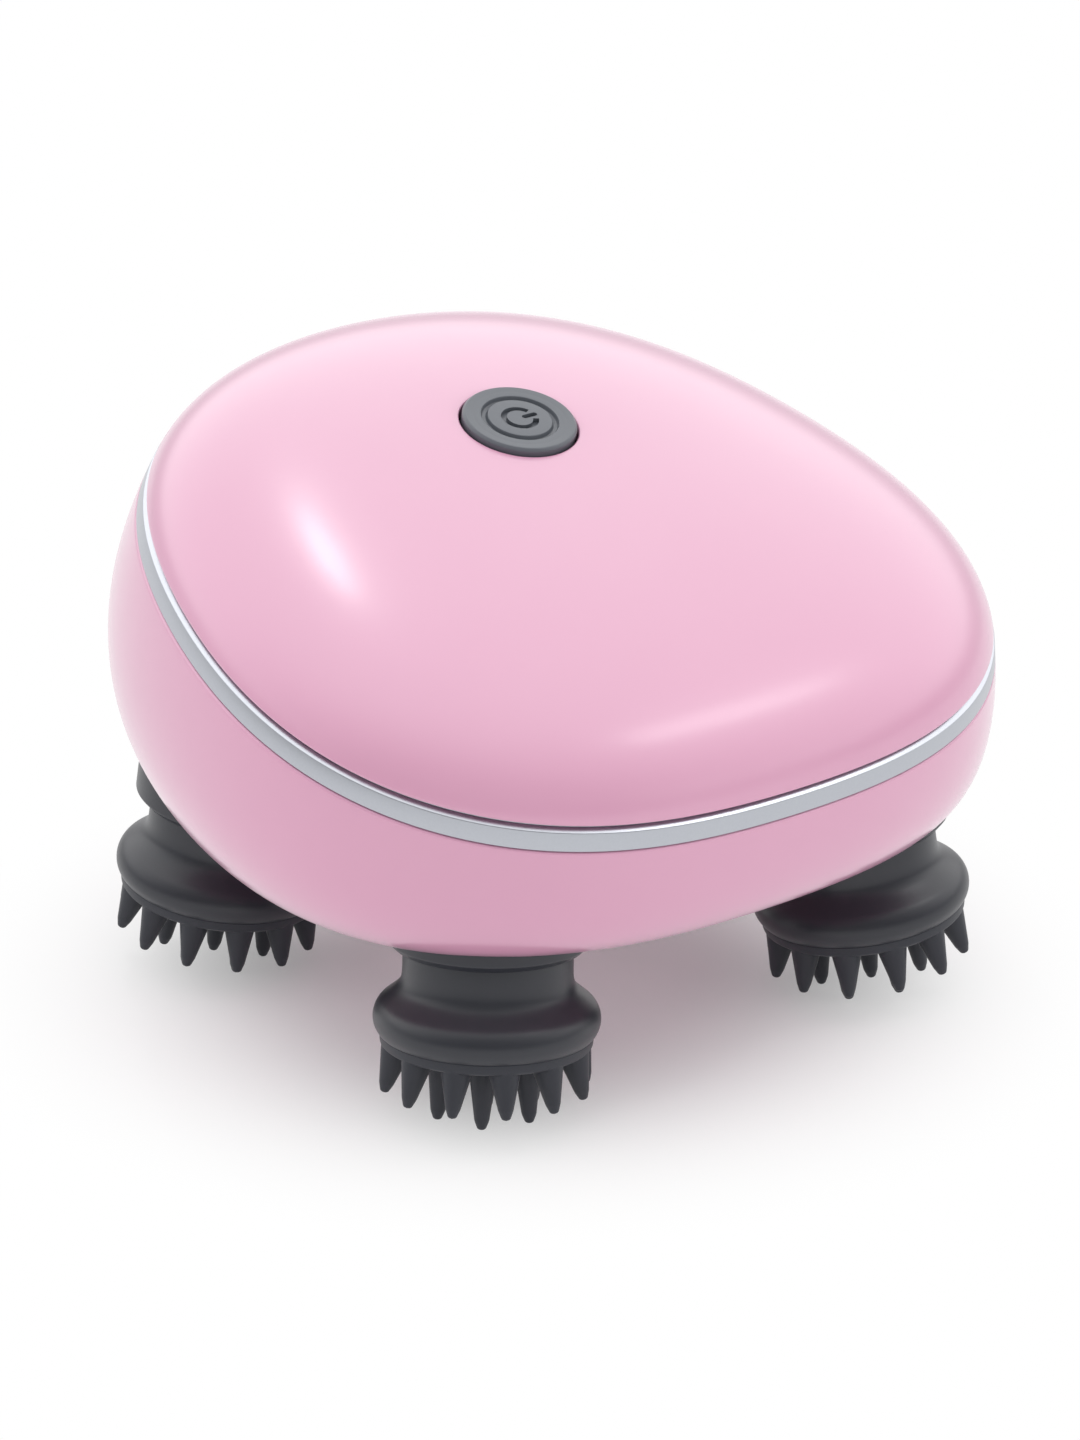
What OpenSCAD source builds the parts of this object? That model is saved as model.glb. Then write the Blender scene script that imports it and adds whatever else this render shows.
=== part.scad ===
// Electric pet massager: a pebble-shaped body on four turning heads with soft nubs.
// Front is +X, up is +Z; the nub tips stand on z = 0 and the body's box is centred on x = y = 0.
// The body's seam lies in a plane that slopes down to the front. Points on the shells are worked
// out in that plane's frame: u runs forward along it, v across it and w square to it.

/* [Body] */
// Length of the body at the seam, measured down the slope
body_l = 110; // [104:1:118]
// Width of the body at the seam
body_w = 110; // [104:1:118]
// How far the nose is blunter than the tail
nose_blunt = 2; // [0.5:0.25:3]
// How far the outline fills out towards its corners
corner_fill = 1.25; // [0:0.25:2.5]
// Slope of the seam plane, in degrees
seam_slope = 16; // [12:0.5:19]
// Height of the dome above the seam plane
dome_h = 16.5; // [14:0.5:19]
// Squareness of the dome's section: 2 is an ellipse
dome_power = 2.6; // [2.2:0.1:3]
// How much fuller the dome is at the tail than at the nose, as a share
dome_bias = 0.04; // [0:0.02:0.2]
// Lean of the wall at the seam, outwards going down, in degrees
wall_lean = 14; // [6:1:16]
// Height of the seam's centre above the flat underside
seam_rise = 32.8; // [30:0.4:38]
// Length of the flat underside
floor_l = 79; // [74:1:86]
// Width of the flat underside
floor_w = 89; // [84:1:94]
// How far the flat underside lies ahead of the seam's centre
floor_shift = 2.8; // [0:0.4:5]
// How far the lower wall keeps its direction below the seam, as a share of its height
belly_pull = 0.75; // [0.6:0.05:0.85]
// How far the underside keeps level before it turns up, as a share of the overhang
floor_pull = 0.62; // [0.5:0.02:0.7]
// Wall of the shells
wall = 2.2; // [1.8:0.1:2.6]
// Thickness of the floor
floor_t = 2.4; // [2:0.1:3]

/* [Trim ring] */
// Height of the trim ring's visible face
trim_h = 2.8; // [2.2:0.1:3.4]
// Depth of the trim ring's visible part
trim_d = 0.9; // [0.6:0.1:1.2]
// Groove between the trim ring and the upper shell
upper_groove = 0.45; // [0.2:0.05:0.6]
// Groove between the trim ring and the lower shell
lower_groove = 0.2; // [0.1:0.05:0.4]
// Chamfer along the top of the trim ring
trim_chamfer = 0.5; // [0.2:0.1:0.7]
// Thickness of the locating lip inside the shells
lip_t = 1; // [0.8:0.1:1.4]
// Height of the locating lip into each shell
lip_h = 1.2; // [0.8:0.1:1.6]
// Space between the locating lip and the shell walls
lip_gap = 0.7; // [0.6:0.05:1]

/* [Button] */
// Distance of the button from the seam's centre, down the slope
button_u = -11; // [-15:1:-6]
// Radius of the button
button_r = 7.7; // [6.5:0.1:8.5]
// Gap round the button
button_gap = 0.3; // [0.2:0.05:0.4]
// How far the button stands out of the dome
button_proud = 0.8; // [0.5:0.1:1.2]
// Travel of the button
button_travel = 0.8; // [0.4:0.1:1]
// Outer radius of the ring groove in the button
ring_groove_r = 5.2; // [4.8:0.1:5.6]
// Width of the ring groove
ring_groove_w = 0.8; // [0.5:0.1:1]
// Depth of the groove and of the mark
mark_depth = 0.35; // [0.2:0.05:0.5]
// Radius of the mark's arc
mark_r = 2; // [1.5:0.1:2.4]
// Line width of the mark
mark_line = 0.6; // [0.4:0.1:0.8]
// Width and height of the button's retaining rim
button_rim = 1.2; // [0.8:0.1:1.4]
// Wall of the sleeve that guides the button
sleeve_wall = 1.6; // [1.2:0.1:2]
// Depth of the sleeve below the dome's surface
sleeve_depth = 6.2; // [5.8:0.1:7]
// Thickness of the button's retainer
retainer_t = 1; // [0.8:0.1:1.4]
// Radius of the button's stem
button_stem_r = 2.4; // [2:0.1:3]

/* [Switch and board] */
// Side of the square switch body
switch_side = 6.2; // [6:0.1:7]
// Height of the switch body
switch_h = 3.5; // [3:0.1:4.5]
// Radius of the switch plunger
plunger_r = 1.7; // [1.4:0.1:2]
// How far the plunger reaches into the switch
plunger_in = 0.9; // [0.7:0.1:1.1]
// Height of the plunger above the switch body
plunger_h = 1.5; // [1.3:0.1:2.2]
// Free gap between the button's stem and the plunger
press_gap = 0.3; // [0.2:0.05:0.4]
// Length of the circuit board, along the body
board_l = 22; // [20:1:24]
// Width of the circuit board
board_w = 36; // [35:1:40]
// Thickness of the circuit board
board_t = 1.6; // [1:0.1:2]
// How far the board's middle lies behind the button
board_back = 1; // [0:0.5:2]
// Distance of the board's screws from the middle
board_screw_y = 15; // [14.5:0.25:15.5]
// Radius of the board's bosses
board_boss_r = 2.4; // [2:0.1:2.6]
// Radius of the board's screws
board_screw_r = 0.9; // [0.7:0.1:1.1]
// Grip of the board screws in their bosses
board_grip = 4; // [3:0.5:4.5]
// Length of the controller chip under the board
chip_l = 7; // [5:0.5:8]
// Width of the controller chip
chip_w = 6; // [4:0.5:6.5]
// Height of the chips under the board
chip_h = 1.2; // [0.8:0.1:1.5]
// Side of the two driver chips
driver_side = 4; // [3:0.5:4.5]
// Width of the connector on the board
connector_w = 9; // [8:0.5:10]
// Depth of the connector
connector_d = 3.5; // [3:0.25:4]
// Height of the connector and of the capacitors
connector_h = 3; // [2:0.25:3.5]
// Radius of the capacitors
capacitor_r = 1.8; // [1.4:0.1:2]

/* [Heads] */
// Distance of the drive axis ahead of the body's middle
drive_x = 2.2; // [0:0.2:4]
// How far in from the body's ends the heads stand, at the rims
head_in_x = 25; // [24:0.5:27]
// How far in from the body's sides the heads stand, at the rims
head_in_y = 23; // [21:0.5:25]
// Outward tilt of each head, in degrees
splay = 8; // [7.5:0.5:10]
// Height of the flat underside above the heads' rims
stand_off = 16.1; // [14.5:0.2:18]
// Radius of the flange's roll at its widest
flange_r = 14.7; // [13.5:0.1:15.5]
// Radius of the roll itself
roll_r = 3; // [2.4:0.1:3.3]
// Height of the roll's centre above the rim
roll_z = 3.7; // [3.3:0.1:4]
// Radius of the neck
neck_r = 11; // [10.4:0.1:11.4]
// Height at which the neck starts to flare
flare_z = 10.6; // [9.8:0.1:11.2]
// Height of the seam between hub and pad above the rim
pad_seam = 1.6; // [1.2:0.1:1.9]
// Radius of the pad at its rim
pad_r = 13.7; // [13:0.1:14.2]
// How far the pad's face bulges below the rim
pad_bulge = 1.6; // [0.8:0.1:2.2]

/* [Nubs] */
// Number of nubs in the outer ring
outer_nubs = 12; // [10:2:14]
// Number of nubs in the inner ring
inner_nubs = 6; // [4:2:8]
// Turn of the outer nubs about the head's axis, against the side that faces out
nub_turn = -9; // [-15:1:15]
// Radius of the ring on which the outer nubs stand
outer_ring_r = 11.6; // [11:0.1:12]
// Radius of the ring of the outer nubs' tips
outer_tip_ring_r = 13.1; // [12:0.1:13.3]
// Radius of the ring on which the inner nubs stand
inner_ring_r = 6.2; // [5.6:0.1:7]
// Radius of the ring of the inner nubs' tips
inner_tip_ring_r = 6.8; // [6:0.1:7.4]
// Length of the outer nubs below the rim
outer_nub_l = 6; // [5:0.25:7]
// Length of the inner nubs below the rim
inner_nub_l = 9.4; // [8.5:0.1:11]
// Radius of a nub's root
nub_root_r = 2; // [1.7:0.1:2.2]
// Radius of a nub's round tip
nub_tip_r = 0.85; // [0.6:0.05:1.1]

/* [Collars and spindles] */
// Outer radius of the collars
collar_r = 13.2; // [12.8:0.1:13.8]
// Height of the collar's lower lip above the rim
collar_z = 13.4; // [12.8:0.1:14]
// Height of the collar's top above the rim
collar_top = 23.4; // [22.8:0.1:24]
// Wall of the collar's skirt
collar_wall = 1.5; // [1.2:0.1:1.7]
// Thickness of the collar's top plate
collar_web = 2.4; // [2:0.1:3]
// Chamfer at the collar's lip
collar_chamfer = 0.9; // [0.5:0.1:1.2]
// Space between the collar and its hole in the shell
collar_fit = 0.05; // [0.03:0.01:0.1]
// Radius of the head spindles
spindle_r = 2.5; // [2:0.1:3]
// Outer radius of the bushes
bush_r = 4.5; // [4:0.1:5]
// Outer radius of the boss that holds each bush
bush_boss_r = 7; // [6.5:0.1:8]
// Running clearance on shafts, per side
running_fit = 0.05; // [0.02:0.01:0.08]
// Clearance of pressed and seated pieces, per side
seat_fit = 0.02; // [0.01:0.01:0.04]
// Free gap between pieces that turn against each other
turn_gap = 0.35; // [0.3:0.05:0.6]
// Height of the seal under each bush
seal_h = 0.7; // [0.5:0.1:1]
// Thickness of the spindles' retaining clips
clip_t = 0.6; // [0.5:0.1:0.9]
// Width of the clips round the spindles
clip_w = 1.6; // [1.2:0.1:2]
// How far a spindle stands out of its gear's hub
spindle_proud = 0.4; // [0.2:0.1:0.8]
// Thickness of the hub's plate under the spindle
hub_plate = 3.4; // [2.8:0.1:4]
// How far the hub's neck reaches into the collar
neck_in = 0.7; // [0.4:0.1:1]
// Depth of the hub's socket round the spindle, below the neck's top
socket_step = 1.2; // [0.8:0.1:1.6]
// How far the seal is narrower than the boss above it
seal_step = 0.5; // [0.3:0.1:0.8]

/* [Gears] */
// Height of the drive gear's middle above the flat underside
gear_rise = 9.6; // [9.2:0.1:10]
// Face width of the gears
gear_t = 3; // [2.4:0.1:3.4]
// Teeth of the drive gear
drive_teeth = 48; // [44:4:52]
// Teeth of each head gear
head_teeth = 16; // [16:1:17]
// Teeth of the motor pinion
pinion_teeth = 11; // [11:1:12]
// Tooth height above the pitch circle, in modules
addendum = 0.85; // [0.7:0.05:0.9]
// Tooth depth below the pitch circle, in modules
dedendum = 1.25; // [1.2:0.05:1.3]
// Play between meshing teeth
backlash = 0.36; // [0.3:0.02:0.45]
// Pressure angle, in degrees
pressure_angle = 20; // [20:1:22]
// Radius of the drive axle
axle_r = 2; // [1.6:0.1:2.4]
// Radius of the drive gear's hub
drive_hub_r = 6; // [5:0.5:8]
// Rise of the gears' hubs above and below their faces
hub_rise = 0.8; // [0.5:0.1:1]
// Wall of the small gears' hubs
hub_wall = 2; // [1.5:0.1:2.4]
// Wall of the boss that carries the drive axle
axle_wall = 2.5; // [2:0.1:3]
// Radius of the lightening holes in the drive gear
light_hole_r = 5; // [4:0.5:6]

/* [Gear plate and screws] */
// Free height between the drive gear's face and the plate
plate_gap = 2.5; // [2:0.1:3]
// Thickness of the plate
plate_t = 2.4; // [2:0.1:3]
// Radius of the plate's middle
plate_r = 23; // [20:0.5:24]
// Width of the plate's arms
plate_arm_w = 14; // [12:0.5:15]
// Radius of the posts and bosses
post_r = 3.5; // [3:0.1:3.8]
// Angle of the two rear posts from the rear arm, in degrees
rear_post_turn = 22; // [21:0.5:24]
// Radius of the case screws
screw_r = 1.5; // [1.2:0.1:1.7]
// Radius of the case screws' heads
screw_head_r = 2.7; // [2.3:0.1:2.9]
// Height of the case screws' heads
screw_head_h = 1.6; // [1.2:0.1:1.8]
// Grip of the case screws in the upper bosses
screw_grip = 10; // [8:0.5:12]
// How far the case screws' heads lie below the underside
screw_sunk = 0.3; // [0.2:0.1:0.5]
// Clearance of screws in plain holes, per side
screw_fit = 0.15; // [0.1:0.05:0.25]

/* [Motor] */
// Radius of the motor and its gearhead
motor_r = 10; // [9:0.25:10.25]
// Height of the gearhead
gearhead_h = 12; // [10:0.5:14]
// Length of the motor can
can_h = 18; // [15:0.5:19]
// Thickness of the motor's end cap
end_cap_h = 1.5; // [1:0.1:2]
// Height of the motor's terminals
terminal_h = 2; // [1.5:0.1:2.4]
// Thickness of the motor's terminals
terminal_t = 0.8; // [0.5:0.1:1]
// Depth of the two flats on the motor can
can_flat = 0.8; // [0.4:0.1:1.2]
// Height of the can's round lower end
can_end = 2; // [1:0.5:4]
// Radius of the gearhead's output shaft
shaft_r = 2; // [1.5:0.1:2.4]
// Radius of the locating boss under the gearhead
pilot_r = 4.5; // [4:0.1:5]
// Distance of the motor's fixing screws from its axis
motor_screw_reach = 6.8; // [6.4:0.1:7.4]
// Radius of the motor's fixing screws
motor_screw_r = 1; // [0.8:0.1:1.2]
// Grip of the motor screws in the gearhead
motor_grip = 3.4; // [2.6:0.1:3.6]

/* [Cell] */
// Radius of the cell
cell_r = 9; // [8:0.5:9.25]
// Length of the cell
cell_l = 50; // [46:1:52]
// Radius of the cell's end contacts
cell_tip_r = 3; // [2:0.5:4]
// How far the contacts stand out of the cell's ends
cell_tip_h = 0.5; // [0.3:0.1:0.8]
// Clearance between the cell and its cradle
cell_fit = 0.15; // [0.1:0.05:0.3]
// Distance of the cell's axis ahead of the drive axis
cell_ahead = 9; // [8:0.5:11]
// Width of the cradle
cradle_w = 15; // [13:0.5:16]
// Length of the cradle
cradle_l = 46; // [42:1:48]
// Height of the cradle
cradle_h = 6.5; // [5:0.5:8]
// Thickness of the cradle under the cell
cradle_t = 1.2; // [1:0.1:1.6]

/* [Charging port] */
// Height of the port above the flat underside
port_rise = 25; // [23:0.5:27]
// Width of the socket's metal shell
socket_w = 8.9; // [8.5:0.1:9.2]
// Height of the socket's metal shell
socket_h = 3.2; // [3:0.1:3.5]
// Depth of the socket
socket_d = 6.6; // [6.2:0.1:7]
// Wall of the socket's metal shell
socket_wall = 0.35; // [0.25:0.05:0.45]
// Width of the socket's tongue
tongue_w = 6.4; // [5.6:0.1:6.8]
// Thickness of the socket's tongue
tongue_t = 0.7; // [0.5:0.1:0.9]
// Width of the cover
cover_w = 13; // [12:0.25:14]
// Height of the cover
cover_h = 7; // [6.5:0.25:8]
// Thickness of the cover
cover_t = 2.4; // [2.2:0.1:2.6]
// Gap round the cover
cover_gap = 0.3; // [0.25:0.05:0.5]
// How far the cover lies inside the body's rearmost point
cover_sink = 0.3; // [0.2:0.05:0.5]
// Radius of the cover's hinge pin
cover_pin_r = 0.5; // [0.4:0.05:0.6]
// Length of the hinge pin at each side of the cover
cover_pin_l = 1.2; // [0.8:0.1:1.4]
// Height of the cover's plug
plug_h = 1.5; // [1.2:0.1:1.6]
// How far the plug reaches into the socket
plug_in = 0.5; // [0.3:0.1:0.7]
// Wall of the shell round the port
port_wall = 2; // [1.6:0.1:2.4]

/* [Leads] */
// Radius of the leads
lead_r = 0.6; // [0.4:0.1:0.7]
// Gap between a lead's end and the face it is joined to
lead_gap = 0.3; // [0.2:0.05:0.4]
// How far in from the board's rear edge the leads land
lead_in = 2.5; // [2:0.1:3]

/* [Hidden] */

// Facets of round features, and of the outline, the dome and the lower wall
$fn = 48;
around = 60;
lead_sides = 8;
dome_steps = [9, 17, 26, 35, 44, 53, 62, 71, 80];
wall_steps = [0, 0.08, 0.18, 0.29, 0.41, 0.53, 0.65, 0.77, 0.89, 1];
turns = [for (i = [0 : around - 1]) 360 * i / around];
eps = 0.01;

// Colours of the real finishes
pink = "#f0bed6";
silver = "#cdd0d4";
button_grey = "#5c6066";
charcoal = "#44474c";
nylon_white = "#e9e7df";
steel = "#b4b8bc";
bronze = "#b08a4f";
board_green = "#2f6b46";

// Where the heads' rims and the underside lie: the lowest nub tips touch z = 0
function nub_drop(ring_r, length) =
    ring_r * sin(splay) + (length - nub_tip_r) * cos(splay) + nub_tip_r;
rim_z = max(nub_drop(outer_tip_ring_r, outer_nub_l), nub_drop(inner_tip_ring_r, inner_nub_l));
floor_z = rim_z + stand_off;
seam_z = floor_z + seam_rise;
seam_up = trim_h / 2 + upper_groove;
seam_down = trim_h / 2 + lower_groove;

// Outline of the body in the seam plane: a circle with small second, third and fourth waves
function outline(a, inset = 0) =
    (body_l + body_w) / 4 + (body_l - body_w) / 4 * cos(2 * a)
    - nose_blunt * (cos(3 * a) - cos(a)) + corner_fill * (1 - cos(4 * a)) - inset;

// A point of the seam frame, with the seam's centre on x = 0
function tilted(u, v, w) =
    [u * cos(seam_slope) + w * sin(seam_slope), v, seam_z - u * sin(seam_slope) + w * cos(seam_slope)];

// Dome height over a point whose distance from the middle is the share p of the outline
function dome_rise(a, p, inset) =
    (dome_h - inset) * (1 - dome_bias * p * cos(a)) * pow(max(0, 1 - pow(p, dome_power)), 1 / dome_power);
function dome_point(a, p, w, inset) =
    let (r = p * (outline(a, inset) - w * tan(wall_lean))) tilted(r * cos(a), r * sin(a), w);
function dome_ring(s, inset) =
    let (p = pow(cos(s), 2 / dome_power))
    [for (a = turns) dome_point(a, p, dome_rise(a, p, inset), inset)];
function rim_share(a, w, inset) =
    pow(1 - pow(w / ((dome_h - inset) * (1 - dome_bias * cos(a))), dome_power), 1 / dome_power);
function dome_rim(w, inset) = [for (a = turns) dome_point(a, rim_share(a, w, inset), w, inset)];

// Lower wall: one cubic curve for each direction, from the seam to the edge of the flat underside
function wall_top(a, inset) =
    let (r = outline(a, inset) + seam_down * tan(wall_lean)) tilted(r * cos(a), r * sin(a), -seam_down);
function wall_foot(a, inset, lift) = [
    floor_shift + (floor_l / 2 - inset) * outline(a) * cos(a) / (body_l / 2),
    (floor_w / 2 - inset) * outline(a) * sin(a) / (body_w / 2),
    floor_z + lift
];
function wall_down(a) =
    [-sin(seam_slope), 0, -cos(seam_slope)]
    + tan(wall_lean) * [cos(a) * cos(seam_slope), sin(a), -cos(a) * sin(seam_slope)];
function bezier(p, t) =
    pow(1 - t, 3) * p[0] + 3 * pow(1 - t, 2) * t * p[1]
    + 3 * (1 - t) * pow(t, 2) * p[2] + pow(t, 3) * p[3];
function wall_curve(a, inset, lift) =
    let (top = wall_top(a, inset), foot = wall_foot(a, inset, lift), over = top - foot)
    [top, top + belly_pull * over[2] * wall_down(a), foot + floor_pull * [over[0], over[1], 0], foot];
function wall_ring(t, inset, lift) = [for (a = turns) bezier(wall_curve(a, inset, lift), t)];

// The body slides along x until its box is centred
rear_reach = min([for (t = wall_steps) bezier(wall_curve(180, 0, 0), t)[0]]);
front_reach = max([for (t = wall_steps) bezier(wall_curve(0, 0, 0), t)[0]]);
body_x = -(rear_reach + front_reach) / 2;
rear_x = body_x + rear_reach;

// Height of the dome above a point (x, y), by repeated substitution
function dome_w(x, y, inset, w, n) =
    let (
        u = (x - body_x - w * sin(seam_slope)) / cos(seam_slope),
        a = atan2(y, u),
        p = norm([u, y]) / (outline(a, inset) - w * tan(wall_lean))
    )
    n == 0 ? w : dome_w(x, y, inset, dome_rise(a, p, inset), n - 1);
function dome_z(x, y, inset) =
    let (
        w = dome_w(x, y, inset, dome_h / 2, 14),
        u = (x - body_x - w * sin(seam_slope)) / cos(seam_slope)
    )
    seam_z - u * sin(seam_slope) + w * cos(seam_slope);

// Top of a boss that ends inside the dome's wall
function boss_top(p) =
    min([for (a = [0 : 30 : 330]) dome_z(p[0] + post_r * cos(a), p[1] + post_r * sin(a), wall / 2)]);

// Place and lean of the button: its axis is square to the dome
function spine(u) =
    let (a = u < 0 ? 180 : 0, p = abs(u) / outline(a)) tilted(u, 0, dome_rise(a, p, 0)) + [body_x, 0, 0];
button_at = spine(button_u);
button_run = spine(button_u + button_r) - spine(button_u - button_r);
button_lean = atan2(-button_run[2], button_run[0]);

// Heights below the dome along the button's axis
cap_rim_top = -wall - 1;
cap_rim_low = cap_rim_top - button_rim;
retainer_low = -sleeve_depth - retainer_t;
stem_low = retainer_low - button_travel - 0.4;
plunger_top = stem_low - press_gap;
switch_top = plunger_top - plunger_h;
board_top = switch_top - switch_h;
board_low = board_top - board_t;

// Heads: head_reach is each rim's distance from the drive axis and head_turn its direction
head_x = body_l / 2 - head_in_x;
head_y = body_w / 2 - head_in_y;
head_reach = norm([head_x, head_y]);
head_turn = atan2(head_y, head_x);
head_turns = [head_turn, 180 - head_turn, 180 + head_turn, -head_turn];

// Gears: the module follows from the distance of the spindles at the height of the drive gear
gear_z = floor_z + gear_rise;
spindle_reach = head_reach - (gear_z - rim_z) * tan(splay);
gear_module = spindle_reach / (drive_teeth / 2 + head_teeth / 2 / cos(splay));
function pitch_r(teeth) = gear_module * teeth / 2;
function tip_r(teeth) = pitch_r(teeth) + addendum * gear_module;
head_gear_z = (head_reach - pitch_r(drive_teeth)) * sin(splay) + (gear_z - rim_z) * cos(splay);
motor_reach = pitch_r(drive_teeth) + pitch_r(pinion_teeth);
motor_x = drive_x - motor_reach;
spindle_top = head_gear_z + gear_t / 2 + hub_rise + spindle_proud;
spindle_low = pad_seam + hub_plate;
neck_top = collar_z + neck_in;
seal_low = neck_top + turn_gap;
bush_low = seal_low + seal_h;

axle_boss_top = gear_z - gear_t / 2 - hub_rise - turn_gap;

// Plate, posts and screws
plate_z = gear_z + gear_t / 2 + plate_gap;
plate_top = plate_z + plate_t;
post_reach = tip_r(drive_teeth) + post_r + 0.8;
case_places = [for (a = [0, 90, -90]) [drive_x + post_reach * cos(a), post_reach * sin(a)]];
rear_places = [
    for (a = [180 - rear_post_turn, 180 + rear_post_turn])
        [drive_x + post_reach * cos(a), post_reach * sin(a)]
];
post_foot = floor_z + floor_t / 2;
sink_depth = screw_head_h + screw_sunk;
plate_screw_l = 6;
pilot_share = 0.85;
thread_share = 0.84;
small_head_h = 1.1;
small_head_w = 0.8;

// Motor, cell and port heights
can_z = plate_top + gearhead_h;
end_cap_z = can_z + can_h;
terminal_y = motor_r / 2;
cell_x = drive_x + cell_ahead;
cell_z = plate_top + cradle_t + cell_r + cell_fit;
port_z = floor_z + port_rise;
cover_x = rear_x + cover_sink;
socket_x = cover_x + cover_t + cover_gap;
hinge_x = cover_x + cover_t / 2;
hinge_z = port_z - cover_h / 2 + cover_t / 2;
recess_w = cover_w + 2 * cover_gap;
recess_h = cover_h + 2 * cover_gap;
port_block_x = rear_x + wall - 0.2;
port_block_l = socket_x + port_wall + 1 - rear_x - wall;

// A cup-shaped skin from two stacks of rings, each closed by a tip; the rings run from the rim
// to the tip, and rising tells whether that is upwards
module cup(outer, inner, outer_tip, inner_tip, rising) {
    n = around;
    m = len(outer);
    k = len(inner);
    rings = [for (ring = concat(outer, inner), p = ring) p];
    tips = (m + k) * n;
    strip = function (low, high, flip) [
        for (j = [0 : n - 1])
            let (a = low + j, b = low + (j + 1) % n, c = high + (j + 1) % n, d = high + j)
            each flip ? [[a, b, c], [a, c, d]] : [[a, d, c], [a, c, b]]
    ];
    fan = function (low, tip, flip) [
        for (j = [0 : n - 1])
            let (a = low + j, b = low + (j + 1) % n) flip ? [a, b, tip] : [b, a, tip]
    ];
    faces = concat(
        [for (i = [0 : m - 2]) each strip(i * n, (i + 1) * n, !rising)],
        fan((m - 1) * n, tips, !rising),
        [for (i = [0 : k - 2]) each strip((m + i) * n, (m + i + 1) * n, rising)],
        fan((m + k - 1) * n, tips + 1, rising),
        strip(0, m * n, rising)
    );
    polyhedron(points = concat(rings, [outer_tip, inner_tip]), faces = faces, convexity = 6);
}

// A closed hoop from one section for each direction
module hoop(sections) {
    n = len(sections);
    m = len(sections[0]);
    at = function (i, j) (i % n) * m + j % m;
    faces = [
        for (i = [0 : n - 1], j = [0 : m - 1])
            each [[at(i, j), at(i, j + 1), at(i + 1, j + 1)], [at(i, j), at(i + 1, j + 1), at(i + 1, j)]]
    ];
    polyhedron(points = [for (s = sections, p = s) p], faces = faces, convexity = 6);
}

module at_body() {
    translate([body_x, 0, 0]) children();
}

// Frame of the button: z stands square out of the dome
module at_button() {
    translate(button_at) rotate([0, button_lean, 0]) children();
}

// Frame of head i: the middle of its rim, z up along the spindle and x outwards
module at_head(i) {
    translate([drive_x, 0, 0])
        rotate([0, 0, head_turns[i]])
            translate([head_reach, 0, rim_z])
                rotate([0, -splay, 0])
                    children();
}

module at_places(places) {
    for (p = places) translate([p[0], p[1], 0]) children();
}

module pipe(r_out, r_in, z0, z1) {
    difference() {
        translate([0, 0, z0]) cylinder(h = z1 - z0, r = r_out);
        translate([0, 0, z0 - 1]) cylinder(h = z1 - z0 + 2, r = r_in);
    }
}

// Smooth path through a list of points
function spline(p, i, t) =
    let (a = p[max(i - 1, 0)], b = p[i], c = p[i + 1], d = p[min(i + 2, len(p) - 1)])
    (2 * b + (c - a) * t + (2 * a - 5 * b + 4 * c - d) * t * t + (3 * b - a - 3 * c + d) * t * t * t) / 2;
function smooth(p) =
    concat([for (i = [0 : len(p) - 2], t = [0 : 1 / 3 : 0.9]) spline(p, i, t)], [p[len(p) - 1]]);
function unit(v) = v / norm(v);

// Directions square to the path, each carried on from the one before
function sides(along, s, i) =
    i == len(along) ? [] :
    let (q = unit(s - (s * along[i]) * along[i])) concat([q], sides(along, q, i + 1));

// Lead swept along the smooth path through a list of points
module lead(points) {
    n = lead_sides;
    path = smooth(points);
    last = len(path) - 1;
    along = [for (i = [0 : last]) unit(path[min(i + 1, last)] - path[max(i - 1, 0)])];
    across = sides(along, abs(along[0][2]) < 0.9 ? [0, 0, 1] : [1, 0, 0], 0);
    rings = [
        for (i = [0 : last], k = [0 : n - 1])
            let (up = cross(along[i], across[i]))
            path[i] + lead_r * (cos(360 * k / n) * across[i] + sin(360 * k / n) * up)
    ];
    walls = [
        for (i = [0 : last - 1], k = [0 : n - 1])
            let (a = i * n + k, b = i * n + (k + 1) % n) each [[a, a + n, b + n], [a, b + n, b]]
    ];
    ends = [[for (k = [0 : n - 1]) k], [for (k = [n - 1 : -1 : 0]) last * n + k]];
    polyhedron(points = rings, faces = concat(walls, ends), convexity = 6);
}

// Involute gear outline, with a tooth on the x axis
function involute(a) = tan(a) * 180 / PI - a;
function flank(teeth, r) =
    let (base = pitch_r(teeth) * cos(pressure_angle))
    90 / teeth - backlash / 4 / pitch_r(teeth) * 180 / PI
    + involute(pressure_angle) - involute(acos(min(1, base / r)));
function gear_outline(teeth) =
    let (
        root = pitch_r(teeth) - dedendum * gear_module,
        start = max(root, pitch_r(teeth) * cos(pressure_angle)),
        steps = [0, 0.35, 0.7, 1],
        radii = [for (s = steps) start + (tip_r(teeth) - start) * s],
        foot = flank(teeth, start)
    )
    [
        for (k = [0 : teeth - 1])
            let (c = 360 * k / teeth)
            each concat(
                [[root, c - foot]],
                [for (r = radii) [r, c - flank(teeth, r)]],
                [for (j = [len(radii) - 1 : -1 : 0]) [radii[j], c + flank(teeth, radii[j])]],
                [[root, c + foot]]
            )
    ];
module gear_blank(teeth) {
    linear_extrude(height = gear_t, center = true)
        polygon([for (q = gear_outline(teeth)) [q[0] * cos(q[1]), q[0] * sin(q[1])]]);
}

// Turn of a gear that meshes with the drive gear in direction a, in its own frame whose x points
// away from the drive axis
function mesh_turn(a, teeth) =
    180 + (a - 360 / drive_teeth * floor(a * drive_teeth / 360)) * drive_teeth / teeth + 180 / teeth;

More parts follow.
